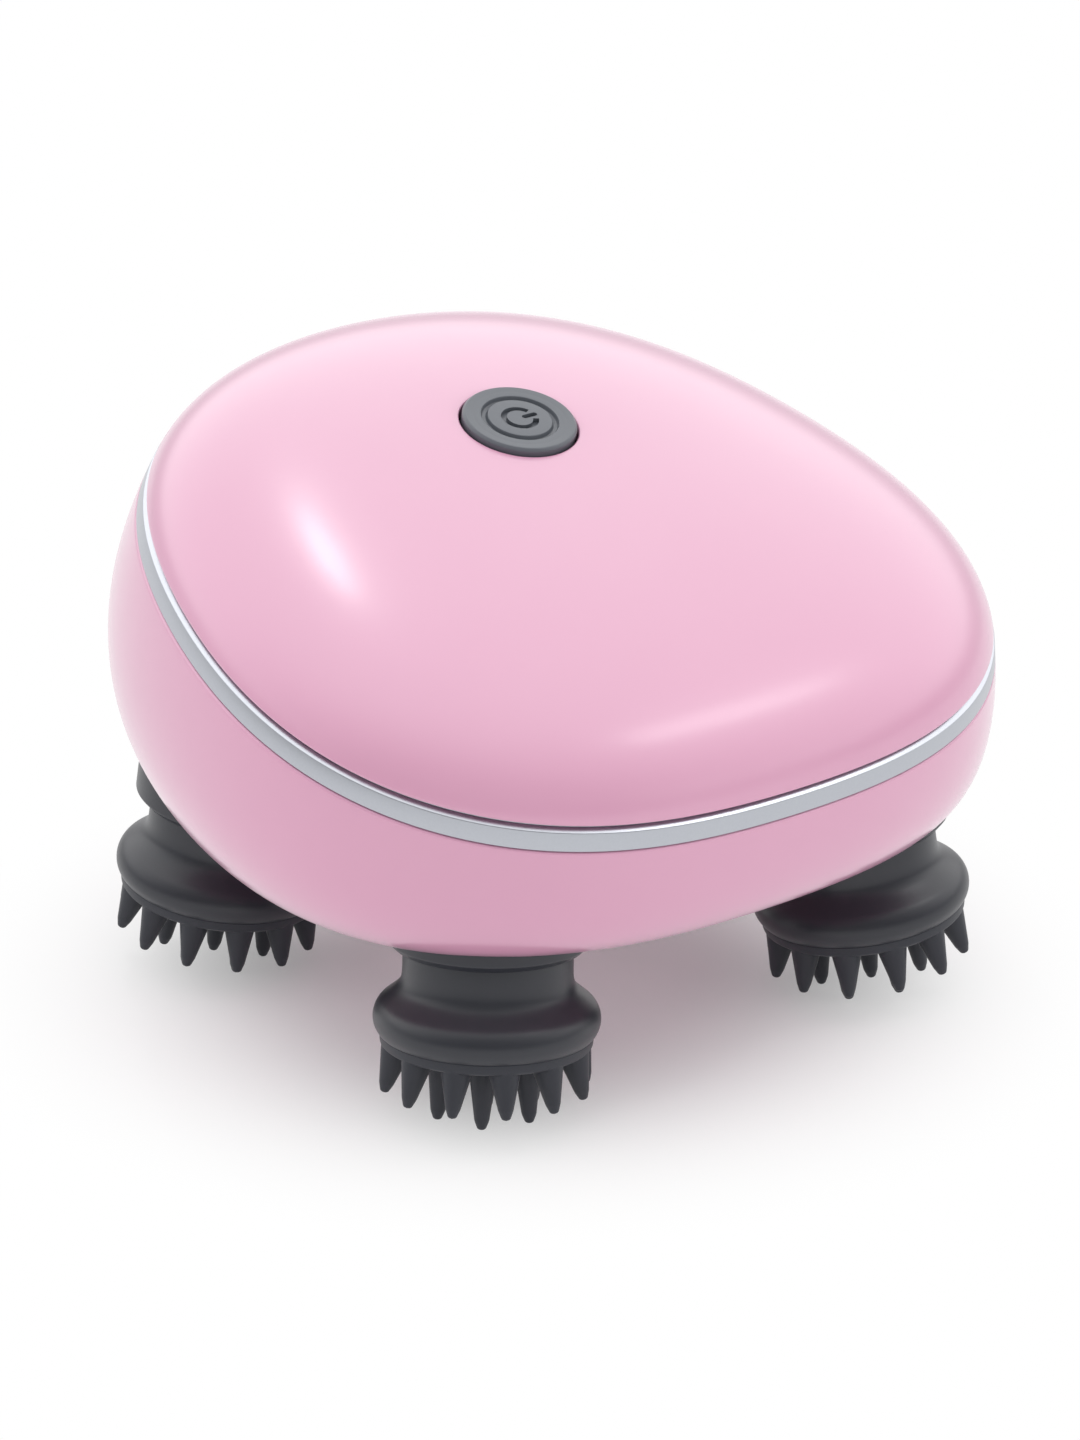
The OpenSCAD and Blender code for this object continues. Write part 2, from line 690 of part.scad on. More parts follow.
module upper_shell() {
    color(pink)
    difference() {
        union() {
            at_body() cup(
                concat([dome_rim(seam_up, 0)], [for (s = dome_steps) dome_ring(s, 0)]),
                concat([dome_rim(seam_up, wall)], [for (s = dome_steps) dome_ring(s, wall)]),
                tilted(0, 0, dome_h), tilted(0, 0, dome_h - wall), true
            );
            at_button() pipe(button_sleeve_r(), button_bore_r(), -sleeve_depth, -wall / 2);
            for (p = case_places) translate([p[0], p[1], plate_top])
                cylinder(h = boss_top(p) - plate_top, r = post_r);
            at_button() for (y = [-board_screw_y, board_screw_y]) translate([-board_back, y, board_top])
                cylinder(h = -board_top - wall, r = board_boss_r);
        }
        at_button() translate([0, 0, -wall - 3]) cylinder(h = wall + 6, r = button_r + button_gap);
        at_places(case_places) translate([0, 0, plate_top - 1])
            cylinder(h = screw_grip + 2, r = screw_r * pilot_share);
        at_button() for (y = [-board_screw_y, board_screw_y]) translate([-board_back, y, board_top - 1])
            cylinder(h = board_grip + 2, r = board_screw_r * pilot_share);
    }
}

function button_bore_r() = button_r + button_rim + button_gap;
function button_sleeve_r() = button_bore_r() + sleeve_wall;

// Section of the trim ring: depth inwards from the outline, and height above the seam's middle
function trim_section() = [
    [0, -trim_h / 2], [0, trim_h / 2 - trim_chamfer], [trim_chamfer, trim_h / 2], [trim_d, trim_h / 2],
    [trim_d, seam_up], [wall + lip_gap, seam_up], [wall + lip_gap, seam_up + lip_h],
    [wall + lip_gap + lip_t, seam_up + lip_h], [wall + lip_gap + lip_t, -seam_down - lip_h],
    [wall + lip_gap, -seam_down - lip_h], [wall + lip_gap, -seam_down], [trim_d, -seam_down],
    [trim_d, -trim_h / 2]
];

module trim_ring() {
    color(silver)
    at_body() hoop([
        for (a = turns) [
            for (q = trim_section())
                let (r = outline(a) - q[0] - q[1] * tan(wall_lean))
                tilted(r * cos(a), r * sin(a), q[1])
        ]
    ]);
}

module lower_shell() {
    color(pink)
    difference() {
        union() {
            at_body() cup(
                [for (t = wall_steps) wall_ring(t, 0, 0)],
                [for (t = wall_steps) wall_ring(t, wall, floor_t)],
                [floor_shift, 0, floor_z], [floor_shift, 0, floor_z + floor_t], false
            );
            at_places(concat(case_places, rear_places)) translate([0, 0, post_foot])
                cylinder(h = plate_z - post_foot, r = post_r);
            translate([drive_x, 0, post_foot])
                cylinder(h = axle_boss_top - post_foot, r = axle_r + axle_wall);
            translate([port_block_x, -recess_w / 2 - port_wall, port_z - recess_h / 2 - port_wall])
                cube([port_block_l, recess_w + 2 * port_wall, recess_h + 2 * port_wall]);
        }
        at_places(case_places) {
            translate([0, 0, floor_z - 1]) cylinder(h = plate_z - floor_z + 2, r = screw_r + screw_fit);
            translate([0, 0, floor_z - 1]) cylinder(h = sink_depth + 1, r = screw_head_r + 2 * screw_fit);
        }
        at_places(rear_places) translate([0, 0, plate_z - plate_screw_l])
            cylinder(h = plate_screw_l + 1, r = screw_r * pilot_share);
        translate([drive_x, 0, post_foot]) cylinder(h = gear_rise, r = axle_r + seat_fit);
        for (i = [0 : 3]) at_head(i) translate([0, 0, collar_z])
            cylinder(h = head_gear_z - collar_z - gear_t / 2 - turn_gap, r = collar_r + collar_fit);
        translate([rear_x - 1, -recess_w / 2, port_z - recess_h / 2])
            cube([socket_x - rear_x + 1, recess_w, recess_h]);
        port_block(rear_x, socket_x + socket_d, screw_fit);
        hinge_pin(cover_pin_r + running_fit, cover_pin_l + 0.1);
    }
}

// Rounded bar with the outline of the socket, from x0 to x1, larger by grow on every side
module port_block(x0, x1, grow) {
    r = socket_h / 2 + grow;
    half = socket_w / 2 - socket_h / 2;
    translate([x0, 0, port_z]) rotate([0, 90, 0]) {
        for (y = [-half, half]) translate([0, y, 0]) cylinder(h = x1 - x0, r = r);
        translate([-r, -half, 0]) cube([2 * r, 2 * half, x1 - x0]);
    }
}

// Pin along the cover's lower edge, reaching into the shell on both sides
module hinge_pin(r, reach) {
    translate([hinge_x, 0, hinge_z]) rotate([90, 0, 0])
        cylinder(h = recess_w + 2 * reach, r = r, center = true, $fn = 24);
}

module case_screws() {
    head_low = floor_z + screw_sunk;
    color(steel)
    at_places(case_places) difference() {
        union() {
            translate([0, 0, head_low]) cylinder(h = screw_head_h, r = screw_head_r);
            translate([0, 0, head_low])
                cylinder(h = plate_top + screw_grip - head_low, r = screw_r * thread_share);
        }
        for (a = [0, 90]) translate([0, 0, head_low]) rotate([0, 0, a])
            cube([screw_head_r, 0.6, 1.4], center = true);
    }
}

module button_cap() {
    rise = button_proud;
    color(button_grey)
    at_button() difference() {
        union() {
            rotate_extrude() polygon([
                [0, rise - 0.1], [button_r - 1.5, rise - 0.1], [button_r - 0.9, rise],
                [button_r - 0.45, rise - 0.1], [button_r - 0.1, rise - 0.4], [button_r, rise - 0.8],
                [button_r, cap_rim_top], [button_r + button_rim, cap_rim_top],
                [button_r + button_rim, cap_rim_low], [0, cap_rim_low]
            ]);
            translate([0, 0, stem_low]) cylinder(h = cap_rim_low - stem_low + eps, r = button_stem_r);
        }
        translate([0, 0, rise - 0.1 - mark_depth])
            pipe(ring_groove_r, ring_groove_r - ring_groove_w, 0, 2);
        translate([0, 0, rise - 0.1 - mark_depth]) power_mark(2);
    }
}

// Open ring with a bar through its gap
module power_mark(h) {
    linear_extrude(height = h) {
        difference() {
            circle(r = mark_r + mark_line / 2);
            circle(r = mark_r - mark_line / 2);
            translate([-0.8, 0]) square([1.6, 2 * mark_r]);
        }
        translate([-mark_line / 2, 0.4]) square([mark_line, mark_r + 0.2]);
    }
}

module button_retainer() {
    color(nylon_white)
    at_button() pipe(button_sleeve_r(), button_stem_r + 0.6, retainer_low, -sleeve_depth);
}

module switch_body() {
    side = switch_side;
    color(charcoal)
    at_button() difference() {
        translate([-side / 2, -side / 2, board_top]) cube([side, side, switch_h]);
        translate([0, 0, switch_top - button_travel - plunger_in - turn_gap])
            cylinder(h = button_travel + plunger_in + 2, r = plunger_r + running_fit);
    }
}

module switch_plunger() {
    color(nylon_white)
    at_button() translate([0, 0, switch_top - plunger_in])
        cylinder(h = plunger_top - switch_top + plunger_in, r = plunger_r);
}

module circuit_board() {
    color(board_green)
    at_button() difference() {
        translate([-board_back - board_l / 2, -board_w / 2, board_low]) cube([board_l, board_w, board_t]);
        for (y = [-board_screw_y, board_screw_y]) translate([-board_back, y, board_low - 1])
            cylinder(h = board_t + 2, r = board_screw_r + screw_fit);
    }
}

module board_parts() {
    under = board_low - chip_h;
    rear = -board_back - board_l / 2;
    color(charcoal)
    at_button() {
        translate([-board_back - chip_l, -board_w / 4, under]) cube([chip_l, chip_w, chip_h]);
        for (x = [-board_back - chip_l, board_l / 7]) translate([x, board_w / 9, under])
            cube([driver_side, driver_side, chip_h]);
        translate([rear + lead_in - lead_r, -connector_w / 2, board_top])
            cube([connector_d, connector_w, connector_h]);
        for (y = [-board_w / 5, board_w / 5])
            translate([switch_side / 2 + 1.1 * capacitor_r, y, board_top])
                cylinder(h = connector_h, r = capacitor_r);
    }
}

module board_screws() {
    color(steel)
    at_button() for (y = [-board_screw_y, board_screw_y]) translate([-board_back, y, 0]) {
        translate([0, 0, board_low - small_head_h])
            cylinder(h = small_head_h, r = board_screw_r + small_head_w);
        translate([0, 0, board_low])
            cylinder(h = board_t + board_grip, r = board_screw_r * thread_share);
    }
}

module gear_plate() {
    color(nylon_white)
    difference() {
        translate([0, 0, plate_z]) linear_extrude(height = plate_t) {
            translate([drive_x, 0]) circle(r = plate_r);
            for (a = [0, 90, -90]) translate([drive_x, 0]) rotate(a)
                translate([0, -plate_arm_w / 2]) square([post_reach, plate_arm_w]);
            for (p = case_places) translate([p[0], p[1]]) circle(r = plate_arm_w / 2);
            translate([motor_x, -motor_r]) square([motor_reach, 2 * motor_r]);
            translate([motor_x, 0]) circle(r = motor_r);
            for (p = rear_places) translate([p[0], p[1]]) circle(r = post_r + 1);
            for (p = rear_places) translate([p[0] - post_r - 1, p[1] > 0 ? 0 : p[1]])
                square([2 * post_r + 2, abs(p[1])]);
        }
        at_places(case_places) translate([0, 0, plate_z - 1])
            cylinder(h = plate_t + 2, r = screw_r + screw_fit);
        at_places(rear_places) translate([0, 0, plate_z - 1])
            cylinder(h = plate_t + 2, r = screw_r + screw_fit);
        translate([drive_x, 0, plate_z - 1]) cylinder(h = plate_t + 2, r = axle_r + seat_fit);
        translate([motor_x, 0, plate_z - 1]) cylinder(h = plate_t + 2, r = pilot_r + seat_fit);
        motor_screw_places() translate([0, 0, plate_z - 1])
            cylinder(h = plate_t + 2, r = motor_screw_r + screw_fit);
    }
}

module motor_screw_places() {
    for (y = [-motor_screw_reach, motor_screw_reach]) translate([motor_x, y, 0]) children();
}

module plate_screws() {
    color(steel)
    at_places(rear_places) {
        translate([0, 0, plate_top]) cylinder(h = screw_head_h, r = screw_head_r);
        translate([0, 0, plate_top - plate_t - plate_screw_l + 1])
            cylinder(h = plate_t + plate_screw_l - 1 + eps, r = screw_r * thread_share);
    }
}

module drive_axle() {
    color(steel)
    translate([drive_x, 0, post_foot]) cylinder(h = plate_top - post_foot, r = axle_r);
}

module drive_gear() {
    color(nylon_white)
    translate([drive_x, 0, gear_z]) difference() {
        union() {
            gear_blank(drive_teeth);
            translate([0, 0, -gear_t / 2 - hub_rise]) cylinder(h = gear_t + 2 * hub_rise, r = drive_hub_r);
        }
        cylinder(h = 2 * gear_t + 2 * hub_rise, r = axle_r + running_fit, center = true);
        for (a = [0 : 60 : 300]) rotate([0, 0, a])
            translate([(drive_hub_r + pitch_r(drive_teeth) - gear_module) / 2, 0, 0])
                cylinder(h = 2 * gear_t, r = light_hole_r, center = true);
    }
}

module motor_gearhead() {
    color(steel)
    translate([motor_x, 0, 0]) difference() {
        union() {
            translate([0, 0, plate_top]) cylinder(h = gearhead_h, r = motor_r);
            translate([0, 0, plate_z]) cylinder(h = plate_t + eps, r = pilot_r);
        }
        translate([0, 0, plate_z - 1]) cylinder(h = plate_t + 9, r = shaft_r + running_fit);
        translate([-motor_x, 0, 0]) motor_screw_places() translate([0, 0, plate_top - 1])
            cylinder(h = motor_grip + 1.6, r = motor_screw_r * pilot_share);
    }
}

module motor_can() {
    color(silver)
    translate([motor_x, 0, can_z]) difference() {
        cylinder(h = can_h, r = motor_r);
        for (a = [0, 180]) rotate([0, 0, a]) translate([motor_r - can_flat, -motor_r, can_end])
            cube([2 * can_flat, 2 * motor_r, can_h]);
    }
}

module motor_end_cap() {
    color(charcoal)
    translate([motor_x, 0, end_cap_z]) {
        cylinder(h = end_cap_h, r = motor_r - 1);
        for (y = [-terminal_y, terminal_y]) translate([-terminal_t / 2, y - 1, end_cap_h - eps])
            cube([terminal_t, 2, terminal_h]);
    }
}

module motor_shaft() {
    color(steel)
    translate([motor_x, 0, gear_z - gear_t / 2 - 1.2])
        cylinder(h = plate_top + 6 - gear_z + gear_t / 2 + 1.2, r = shaft_r);
}

module motor_pinion() {
    color(nylon_white)
    translate([motor_x, 0, gear_z]) rotate([0, 0, 180 + mesh_turn(180, pinion_teeth)]) difference() {
        union() {
            gear_blank(pinion_teeth);
            translate([0, 0, -gear_t / 2 - hub_rise]) cylinder(h = gear_t, r = shaft_r + hub_wall);
        }
        cylinder(h = 3 * gear_t, r = shaft_r + seat_fit, center = true);
    }
}

module motor_screws() {
    color(steel)
    motor_screw_places() {
        translate([0, 0, plate_z - small_head_h])
            cylinder(h = small_head_h, r = motor_screw_r + small_head_w);
        translate([0, 0, plate_z - eps])
            cylinder(h = plate_t + motor_grip, r = motor_screw_r * thread_share);
    }
}

module cell() {
    color("#3f6fae")
    translate([cell_x, 0, cell_z]) rotate([90, 0, 0]) {
        cylinder(h = cell_l - 2 * cell_tip_h, r = cell_r, center = true);
        cylinder(h = cell_l, r = cell_tip_r, center = true);
    }
}

module cell_cradle() {
    color(nylon_white)
    difference() {
        translate([cell_x - cradle_w / 2, -cradle_l / 2, plate_top]) cube([cradle_w, cradle_l, cradle_h]);
        translate([cell_x, 0, cell_z]) rotate([90, 0, 0])
            cylinder(h = cradle_l + 2, r = cell_r + cell_fit, center = true);
    }
}

// A point of the button's frame as a point of the part
function from_button(p) = button_at + [
    p[0] * cos(button_lean) + p[2] * sin(button_lean), p[1],
    -p[0] * sin(button_lean) + p[2] * cos(button_lean)
];

module motor_leads() {
    entry = -board_back - board_l / 2 + lead_in;
    start_z = end_cap_z + end_cap_h + 0.7 * terminal_h;
    color("#b02a2a")
    for (s = [-1, 1]) lead([
        [motor_x + terminal_t / 2 + lead_r + lead_gap, terminal_y * s, start_z],
        [motor_x + 6, terminal_y * s, start_z],
        from_button([entry, 6.5 * s, board_top + 4]),
        from_button([entry, 6.5 * s, board_top + lead_gap])
    ]);
}

module cell_leads() {
    end_y = cell_l / 2 + lead_r + lead_gap / 3;
    color("#b02a2a")
    for (s = [-1, 1]) lead([
        [cell_x, s * end_y, cell_z - 2],
        [cell_x, s * (end_y + 0.2), cell_z + 5],
        [cell_x - cell_r + 1, s * (cell_l / 2 - 1), cell_z + cell_r + 2],
        from_button([6, 17 * s, board_low - 4]),
        from_button([6, 12 * s, board_low - 2.5]),
        from_button([6, 12 * s, board_low - lead_gap])
    ]);
}

module charge_socket() {
    color(steel)
    difference() {
        port_block(socket_x, socket_x + socket_d, 0);
        difference() {
            port_block(socket_x - 1, socket_x + socket_d - 1, -socket_wall);
            translate([socket_x + 0.8, -tongue_w / 2, port_z - tongue_t / 2])
                cube([socket_d, tongue_w, tongue_t]);
        }
    }
}

module charge_leads() {
    entry = -board_back - board_l / 2 + lead_in;
    start_x = socket_x + socket_d + lead_r;
    color("#333438")
    for (s = [-1, 1]) lead([
        [start_x, 2 * s, port_z],
        [start_x + 0.8, 2.4 * s, port_z + 1],
        [motor_x - motor_r + 2, s * (motor_r + 1.5), port_z + 12],
        [motor_x + 4, s * (motor_r + 2.5), port_z + 17],
        from_button([entry, 13 * s, board_top + 3]),
        from_button([entry, 13 * s, board_top + lead_gap])
    ]);
}

module port_cover() {
    half = cover_t / 2;
    plug_w = socket_w - socket_h;
    color(pink) {
        translate([hinge_x, cover_w / 2, hinge_z]) rotate([90, 0, 0])
            linear_extrude(height = cover_w) polygon(concat(
                [for (a = [180 : 15 : 360]) half * [cos(a), sin(a)]],
                [[half, cover_h - half], [0.4 - half, cover_h - half], [-half, cover_h - half - 0.4]]
            ));
        translate([cover_x + half, -plug_w / 2, port_z - plug_h / 2])
            cube([half + cover_gap + plug_in, plug_w, plug_h]);
        hinge_pin(cover_pin_r, cover_pin_l - cover_gap);
    }
}

module head_collar(i) {
    r = collar_r;
    color(charcoal)
    at_head(i) rotate_extrude() polygon([
        [r - collar_wall, collar_z], [r - collar_chamfer, collar_z], [r, collar_z + collar_chamfer],
        [r, collar_top], [bush_r + seat_fit, collar_top], [bush_r + seat_fit, bush_low],
        [bush_boss_r, bush_low], [bush_boss_r, collar_top - collar_web],
        [r - collar_wall, collar_top - collar_web]
    ]);
}

module head_bush(i) {
    color(bronze)
    at_head(i) pipe(bush_r, spindle_r + running_fit, bush_low, collar_top);
}

module head_seal(i) {
    color("#2b2c2e")
    at_head(i) pipe(bush_boss_r - seal_step, spindle_r + running_fit, seal_low, bush_low);
}

module head_spindle(i) {
    color(steel)
    at_head(i) translate([0, 0, spindle_low]) cylinder(h = spindle_top - spindle_low, r = spindle_r);
}

module head_clip(i) {
    low = collar_top + turn_gap;
    color(steel)
    at_head(i) pipe(spindle_r + clip_w, spindle_r + seat_fit, low, low + clip_t);
}

module head_gear(i) {
    turn = mesh_turn(head_turns[i], head_teeth);
    color(nylon_white)
    at_head(i) translate([0, 0, head_gear_z]) rotate([0, 0, turn]) difference() {
        union() {
            gear_blank(head_teeth);
            translate([0, 0, gear_t / 2 - eps]) cylinder(h = hub_rise, r = spindle_r + hub_wall);
        }
        cylinder(h = 3 * gear_t, r = spindle_r + seat_fit, center = true);
    }
}

// Hub profile: a straight neck, a hollow flare, then the round roll of the flange
roll_x = flange_r - roll_r;
flare_turn = 52;
flare_end = [roll_x + roll_r * cos(flare_turn), roll_z + roll_r * sin(flare_turn)];
flare_curve = [
    [neck_r, flare_z], [neck_r, flare_z - 2.4],
    flare_end + 3 * [-sin(flare_turn), cos(flare_turn)], flare_end
];
seam_turn = asin((pad_seam - roll_z) / roll_r);

// How deep a nub's root starts inside the pad
nub_seat = 0.5;

module head_hub(i) {
    color(charcoal)
    at_head(i) rotate_extrude() polygon(concat(
        [[spindle_r + seat_fit, neck_top - socket_step]],
        [[bush_boss_r - seal_step, neck_top - socket_step], [bush_boss_r - seal_step, neck_top]],
        [[neck_r - 0.4, neck_top], [neck_r, neck_top - 0.4]],
        [for (t = [0 : 0.125 : 1]) bezier(flare_curve, t)],
        [for (s = [1 : 8]) let (a = flare_turn + (seam_turn - flare_turn) * s / 8)
            [roll_x + roll_r * cos(a), roll_z + roll_r * sin(a)]],
        [[0, pad_seam], [0, spindle_low], [spindle_r + seat_fit, spindle_low]]
    ));
}

module nub(root_ring, tip_ring, length) {
    root = [root_ring, 0, nub_seat];
    tip = [tip_ring, 0, nub_tip_r - length];
    run = tip - root;
    translate(root) rotate([0, acos(run[2] / norm(run)), 0]) rotate_extrude($fn = 24) polygon(concat(
        [[0, 0], [nub_root_r, 0]],
        [for (a = [0 : 30 : 90]) [nub_tip_r * cos(a), norm(run) + nub_tip_r * sin(a)]]
    ));
}

module head_pad(i) {
    color(charcoal)
    at_head(i) {
        rotate_extrude() polygon([
            [0, pad_seam], [pad_r + 0.15, pad_seam], [pad_r, 0.4], [pad_r - 0.35, 0],
            [pad_r * 0.75, -pad_bulge * 0.45], [pad_r * 0.45, -pad_bulge * 0.85], [0, -pad_bulge]
        ]);
        for (k = [0 : outer_nubs - 1]) rotate([0, 0, nub_turn + 360 * k / outer_nubs])
            nub(outer_ring_r, outer_tip_ring_r, outer_nub_l);
        for (k = [0 : inner_nubs - 1]) rotate([0, 0, nub_turn + 180 / outer_nubs + 360 * k / inner_nubs])
            nub(inner_ring_r, inner_tip_ring_r, inner_nub_l);
        nub(0, 0, inner_nub_l);
    }
}

upper_shell();
trim_ring();
lower_shell();
case_screws();
button_cap();
button_retainer();
switch_body();
switch_plunger();
circuit_board();
board_parts();
board_screws();
gear_plate();
plate_screws();
drive_axle();
drive_gear();
motor_gearhead();
motor_can();
motor_end_cap();
motor_shaft();
motor_pinion();
motor_screws();
motor_leads();
cell();
cell_cradle();
cell_leads();
charge_socket();
charge_leads();
port_cover();
for (i = [0 : 3]) {
    head_collar(i);
    head_bush(i);
    head_seal(i);
    head_spindle(i);
    head_clip(i);
    head_gear(i);
    head_hub(i);
    head_pad(i);
}
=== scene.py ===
# %% [markdown]
# # A pet massager, dressed for the camera
# The imported CAD model already stands in the scene with all its bodies and joints. It is exact,
# but its curves are cut into large flats. Here the outer pieces are made again as smooth surfaces
# from the same sizes, and every piece gets the finish of its real material.
#
# First the frame is loaded.

import bmesh
import bpy
import numpy as np
from mathutils import Matrix, Vector


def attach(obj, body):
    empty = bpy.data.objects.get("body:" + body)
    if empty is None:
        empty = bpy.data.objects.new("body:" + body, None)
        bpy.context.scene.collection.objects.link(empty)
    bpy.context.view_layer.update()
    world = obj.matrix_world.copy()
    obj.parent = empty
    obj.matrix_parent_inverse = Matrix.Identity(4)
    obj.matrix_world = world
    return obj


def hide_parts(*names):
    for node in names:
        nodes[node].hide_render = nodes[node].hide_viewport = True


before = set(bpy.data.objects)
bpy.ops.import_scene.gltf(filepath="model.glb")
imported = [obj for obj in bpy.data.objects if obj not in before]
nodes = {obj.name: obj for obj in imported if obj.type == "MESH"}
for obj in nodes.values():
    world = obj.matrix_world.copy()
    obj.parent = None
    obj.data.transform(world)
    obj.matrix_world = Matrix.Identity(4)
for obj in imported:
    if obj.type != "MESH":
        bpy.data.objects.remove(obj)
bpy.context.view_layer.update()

# %% [markdown]
# ## Sizes
# All lengths are in millimetres, as on a drawing, and turn to metres when a mesh is made.
# They are the sizes of the CAD model: the body's outline, its dome, the silver ring and the heads.

# %% Sizes of the body
mm = 0.001
body_l, body_w = 110, 110
nose_blunt, corner_fill = 2, 1.25
seam_slope = np.radians(16)
lean = np.tan(np.radians(14))
dome_h, dome_power, dome_bias = 16.5, 2.6, 0.04
seam_rise, floor_l, floor_w, floor_shift = 32.8, 79, 89, 2.8
belly_pull, floor_pull = 0.75, 0.62
wall, floor_t = 2.2, 2.4
trim_h, trim_d, bevel_d, bevel_h = 2.8, 0.9, 0.75, 0.35
upper_groove, lower_groove = 0.45, 0.2
lip_t, lip_h, lip_gap = 1, 1.2, 0.7

# %% Sizes of the heads and the button
splay = np.radians(8)
drive_x, head_x, head_y, stand_off = 2.2, 30, 32, 16.1
outer_ring_r, outer_tip_ring_r, outer_nub_l = 11.6, 13.1, 6
inner_ring_r, inner_tip_ring_r, inner_nub_l = 6.2, 6.8, 9.4
nub_root_r, nub_tip_r = 2, 0.85
button_u, button_r, button_gap, button_rim = -11, 7.7, 0.3, 1.2
sleeve_wall, sleeve_depth = 1.6, 6.2


def nub_drop(ring_r, length):
    """How far a nub's tip hangs below the middle of a tilted head's rim."""
    return ring_r * np.sin(splay) + (length - nub_tip_r) * np.cos(splay) + nub_tip_r


rim_z = max(nub_drop(outer_tip_ring_r, outer_nub_l), nub_drop(inner_tip_ring_r, inner_nub_l))
floor_z = rim_z + stand_off
seam_z = floor_z + seam_rise
seam_up = trim_h / 2 + upper_groove
seam_down = trim_h / 2 + lower_groove
head_reach = np.hypot(head_x, head_y)
head_turn = np.arctan2(head_y, head_x)
head_turns = [head_turn, np.pi - head_turn, np.pi + head_turn, -head_turn]
print(f"underside at {floor_z:.2f} mm, middle of the seam at {seam_z:.2f} mm")

# %% [markdown]
# ## From an array of points to a mesh
# Most pieces here are skins: rows of points that run round the piece, stacked from one end to the
# other. One helper joins the rows with quads and closes the ends. The sign of the enclosed volume
# tells which way the faces look, so it can turn them outwards without any guessing.

# %% Skins
around = 256
turn = np.linspace(0, 2 * np.pi, around, endpoint=False)


def skin(rings, start=None, end=None, loop=False):
    """Points and faces of a closed surface. rings is (rows, columns, 3) and wraps round its columns;
    start and end are the poles that close the first and last row, and loop joins last to first."""
    rows, columns = rings.shape[:2]
    i = np.arange(rows if loop else rows - 1)[:, None] * columns
    j, k = np.arange(columns), (np.arange(columns) + 1) % columns
    up = (i + columns) % (rows * columns)
    quads = np.stack([i + j, i + k, up + k, up + j], -1).reshape(-1, 4)
    points, faces = [rings.reshape(-1, 3)], [quads]
    last = rows * columns
    if start is not None:
        points.append([start])
        faces.append(np.stack([k, j, np.full(columns, last)], -1))
    if end is not None:
        top = (rows - 1) * columns
        points.append([end])
        faces.append(np.stack([top + j, top + k, np.full(columns, last + (start is not None))], -1))
    points = np.concatenate(points)
    tris = np.concatenate([f[:, [0, n, n + 1]] for f in faces for n in range(1, f.shape[1] - 1)])
    a, b, c = (points[tris[:, n]] for n in range(3))
    if np.einsum("ij,ij->", a, np.cross(b, c)) < 0:
        faces = [f[:, ::-1] for f in faces]
    return points, [q for f in faces for q in f.tolist()]


def make(name, *skins):
    """A mesh object from one or more skins in millimetres."""
    points, faces, count = [], [], 0
    for p, f in skins:
        points.append(p)
        faces += [[v + count for v in q] for q in f]
        count += len(p)
    mesh = bpy.data.meshes.new(name)
    mesh.from_pydata((np.concatenate(points) * mm).tolist(), [], faces)
    mesh.validate()
    obj = bpy.data.objects.new(name, mesh)
    bpy.context.scene.collection.objects.link(obj)
    return obj


def smooth(obj, angle=32):
    """Smooth shading, with a sharp edge wherever two faces meet at more than the angle."""
    obj.data.shade_smooth()
    obj.data.set_sharp_from_angle(angle=np.radians(angle))
    return obj


# %% [markdown]
# ## Profiles with rounded corners
# A moulded edge is never perfectly sharp, and the thin highlight on its small radius is what makes
# it look real. So every profile is drawn as a polyline with a radius at each corner. Longer bends
# are cubic curves.

# %% Fillets and turned pieces
def fillet(corners, steps=6):
    """Polyline through (x, y, radius) corners, each rounded by a true arc. The arc is the rational
    quadratic curve from tangent point to tangent point, with the sine of half the angle as weight."""
    q = np.array(corners, float)
    out = []
    for n in range(len(q)):
        here, r = q[n, :2], q[n, 2]
        if r == 0:
            out.append(here[None])
            continue
        to_last, to_next = q[n - 1, :2] - here, q[(n + 1) % len(q), :2] - here
        reach = min(np.hypot(*to_last), np.hypot(*to_next)) * 0.49
        to_last, to_next = to_last / np.hypot(*to_last), to_next / np.hypot(*to_next)
        half = np.arccos(np.clip(to_last @ to_next, -1, 1)) / 2
        t = min(r / np.tan(half), reach)
        s = np.linspace(0, 1, steps + 1)[:, None]
        weight = np.sin(half)
        bottom = (1 - s) ** 2 + 2 * s * (1 - s) * weight + s**2
        ends = (1 - s) ** 2 * (here + t * to_last) + s**2 * (here + t * to_next)
        out.append((ends + 2 * s * (1 - s) * weight * here) / bottom)
    return np.concatenate(out)


def cubic(a, b, c, d, t):
    """Curve from a to d that sets off towards b and arrives from c, at the shares t of the way."""
    return (1 - t) ** 3 * a + 3 * (1 - t) ** 2 * t * b + 3 * (1 - t) * t**2 * c + t**3 * d


def turned(profile, columns=128, at=None):
    """Skin of a profile (radius, height) turned round the z axis. Ends on the axis become poles,
    and a profile that never meets the axis closes on itself."""
    profile = np.array(profile, float)
    on_axis = profile[:, 0] < 1e-9
    a = np.linspace(0, 2 * np.pi, columns, endpoint=False)
    r, z = profile[~on_axis, 0, None], profile[~on_axis, 1, None]
    rings = np.stack([r * np.cos(a), r * np.sin(a), z + 0 * a], -1)
    poles = [[0, 0, profile[n, 1]] if on_axis[n] else None for n in (0, -1)]
    points, faces = skin(rings, poles[0], poles[1], loop=not on_axis.any())
    return (points if at is None else moved(points, at)), faces


def moved(points, at):
    """Points carried by a 4 by 4 matrix."""
    m = np.array(at)
    return points @ m[:3, :3].T + m[:3, 3]


def place(*steps):
    """Product of translations, given as three numbers, and turns, given as (angle, axis)."""
    m = Matrix.Identity(4)
    for s in steps:
        m = m @ (Matrix.Translation(s) if len(s) == 3 else Matrix.Rotation(float(s[0]), 4, s[1]))
    return m


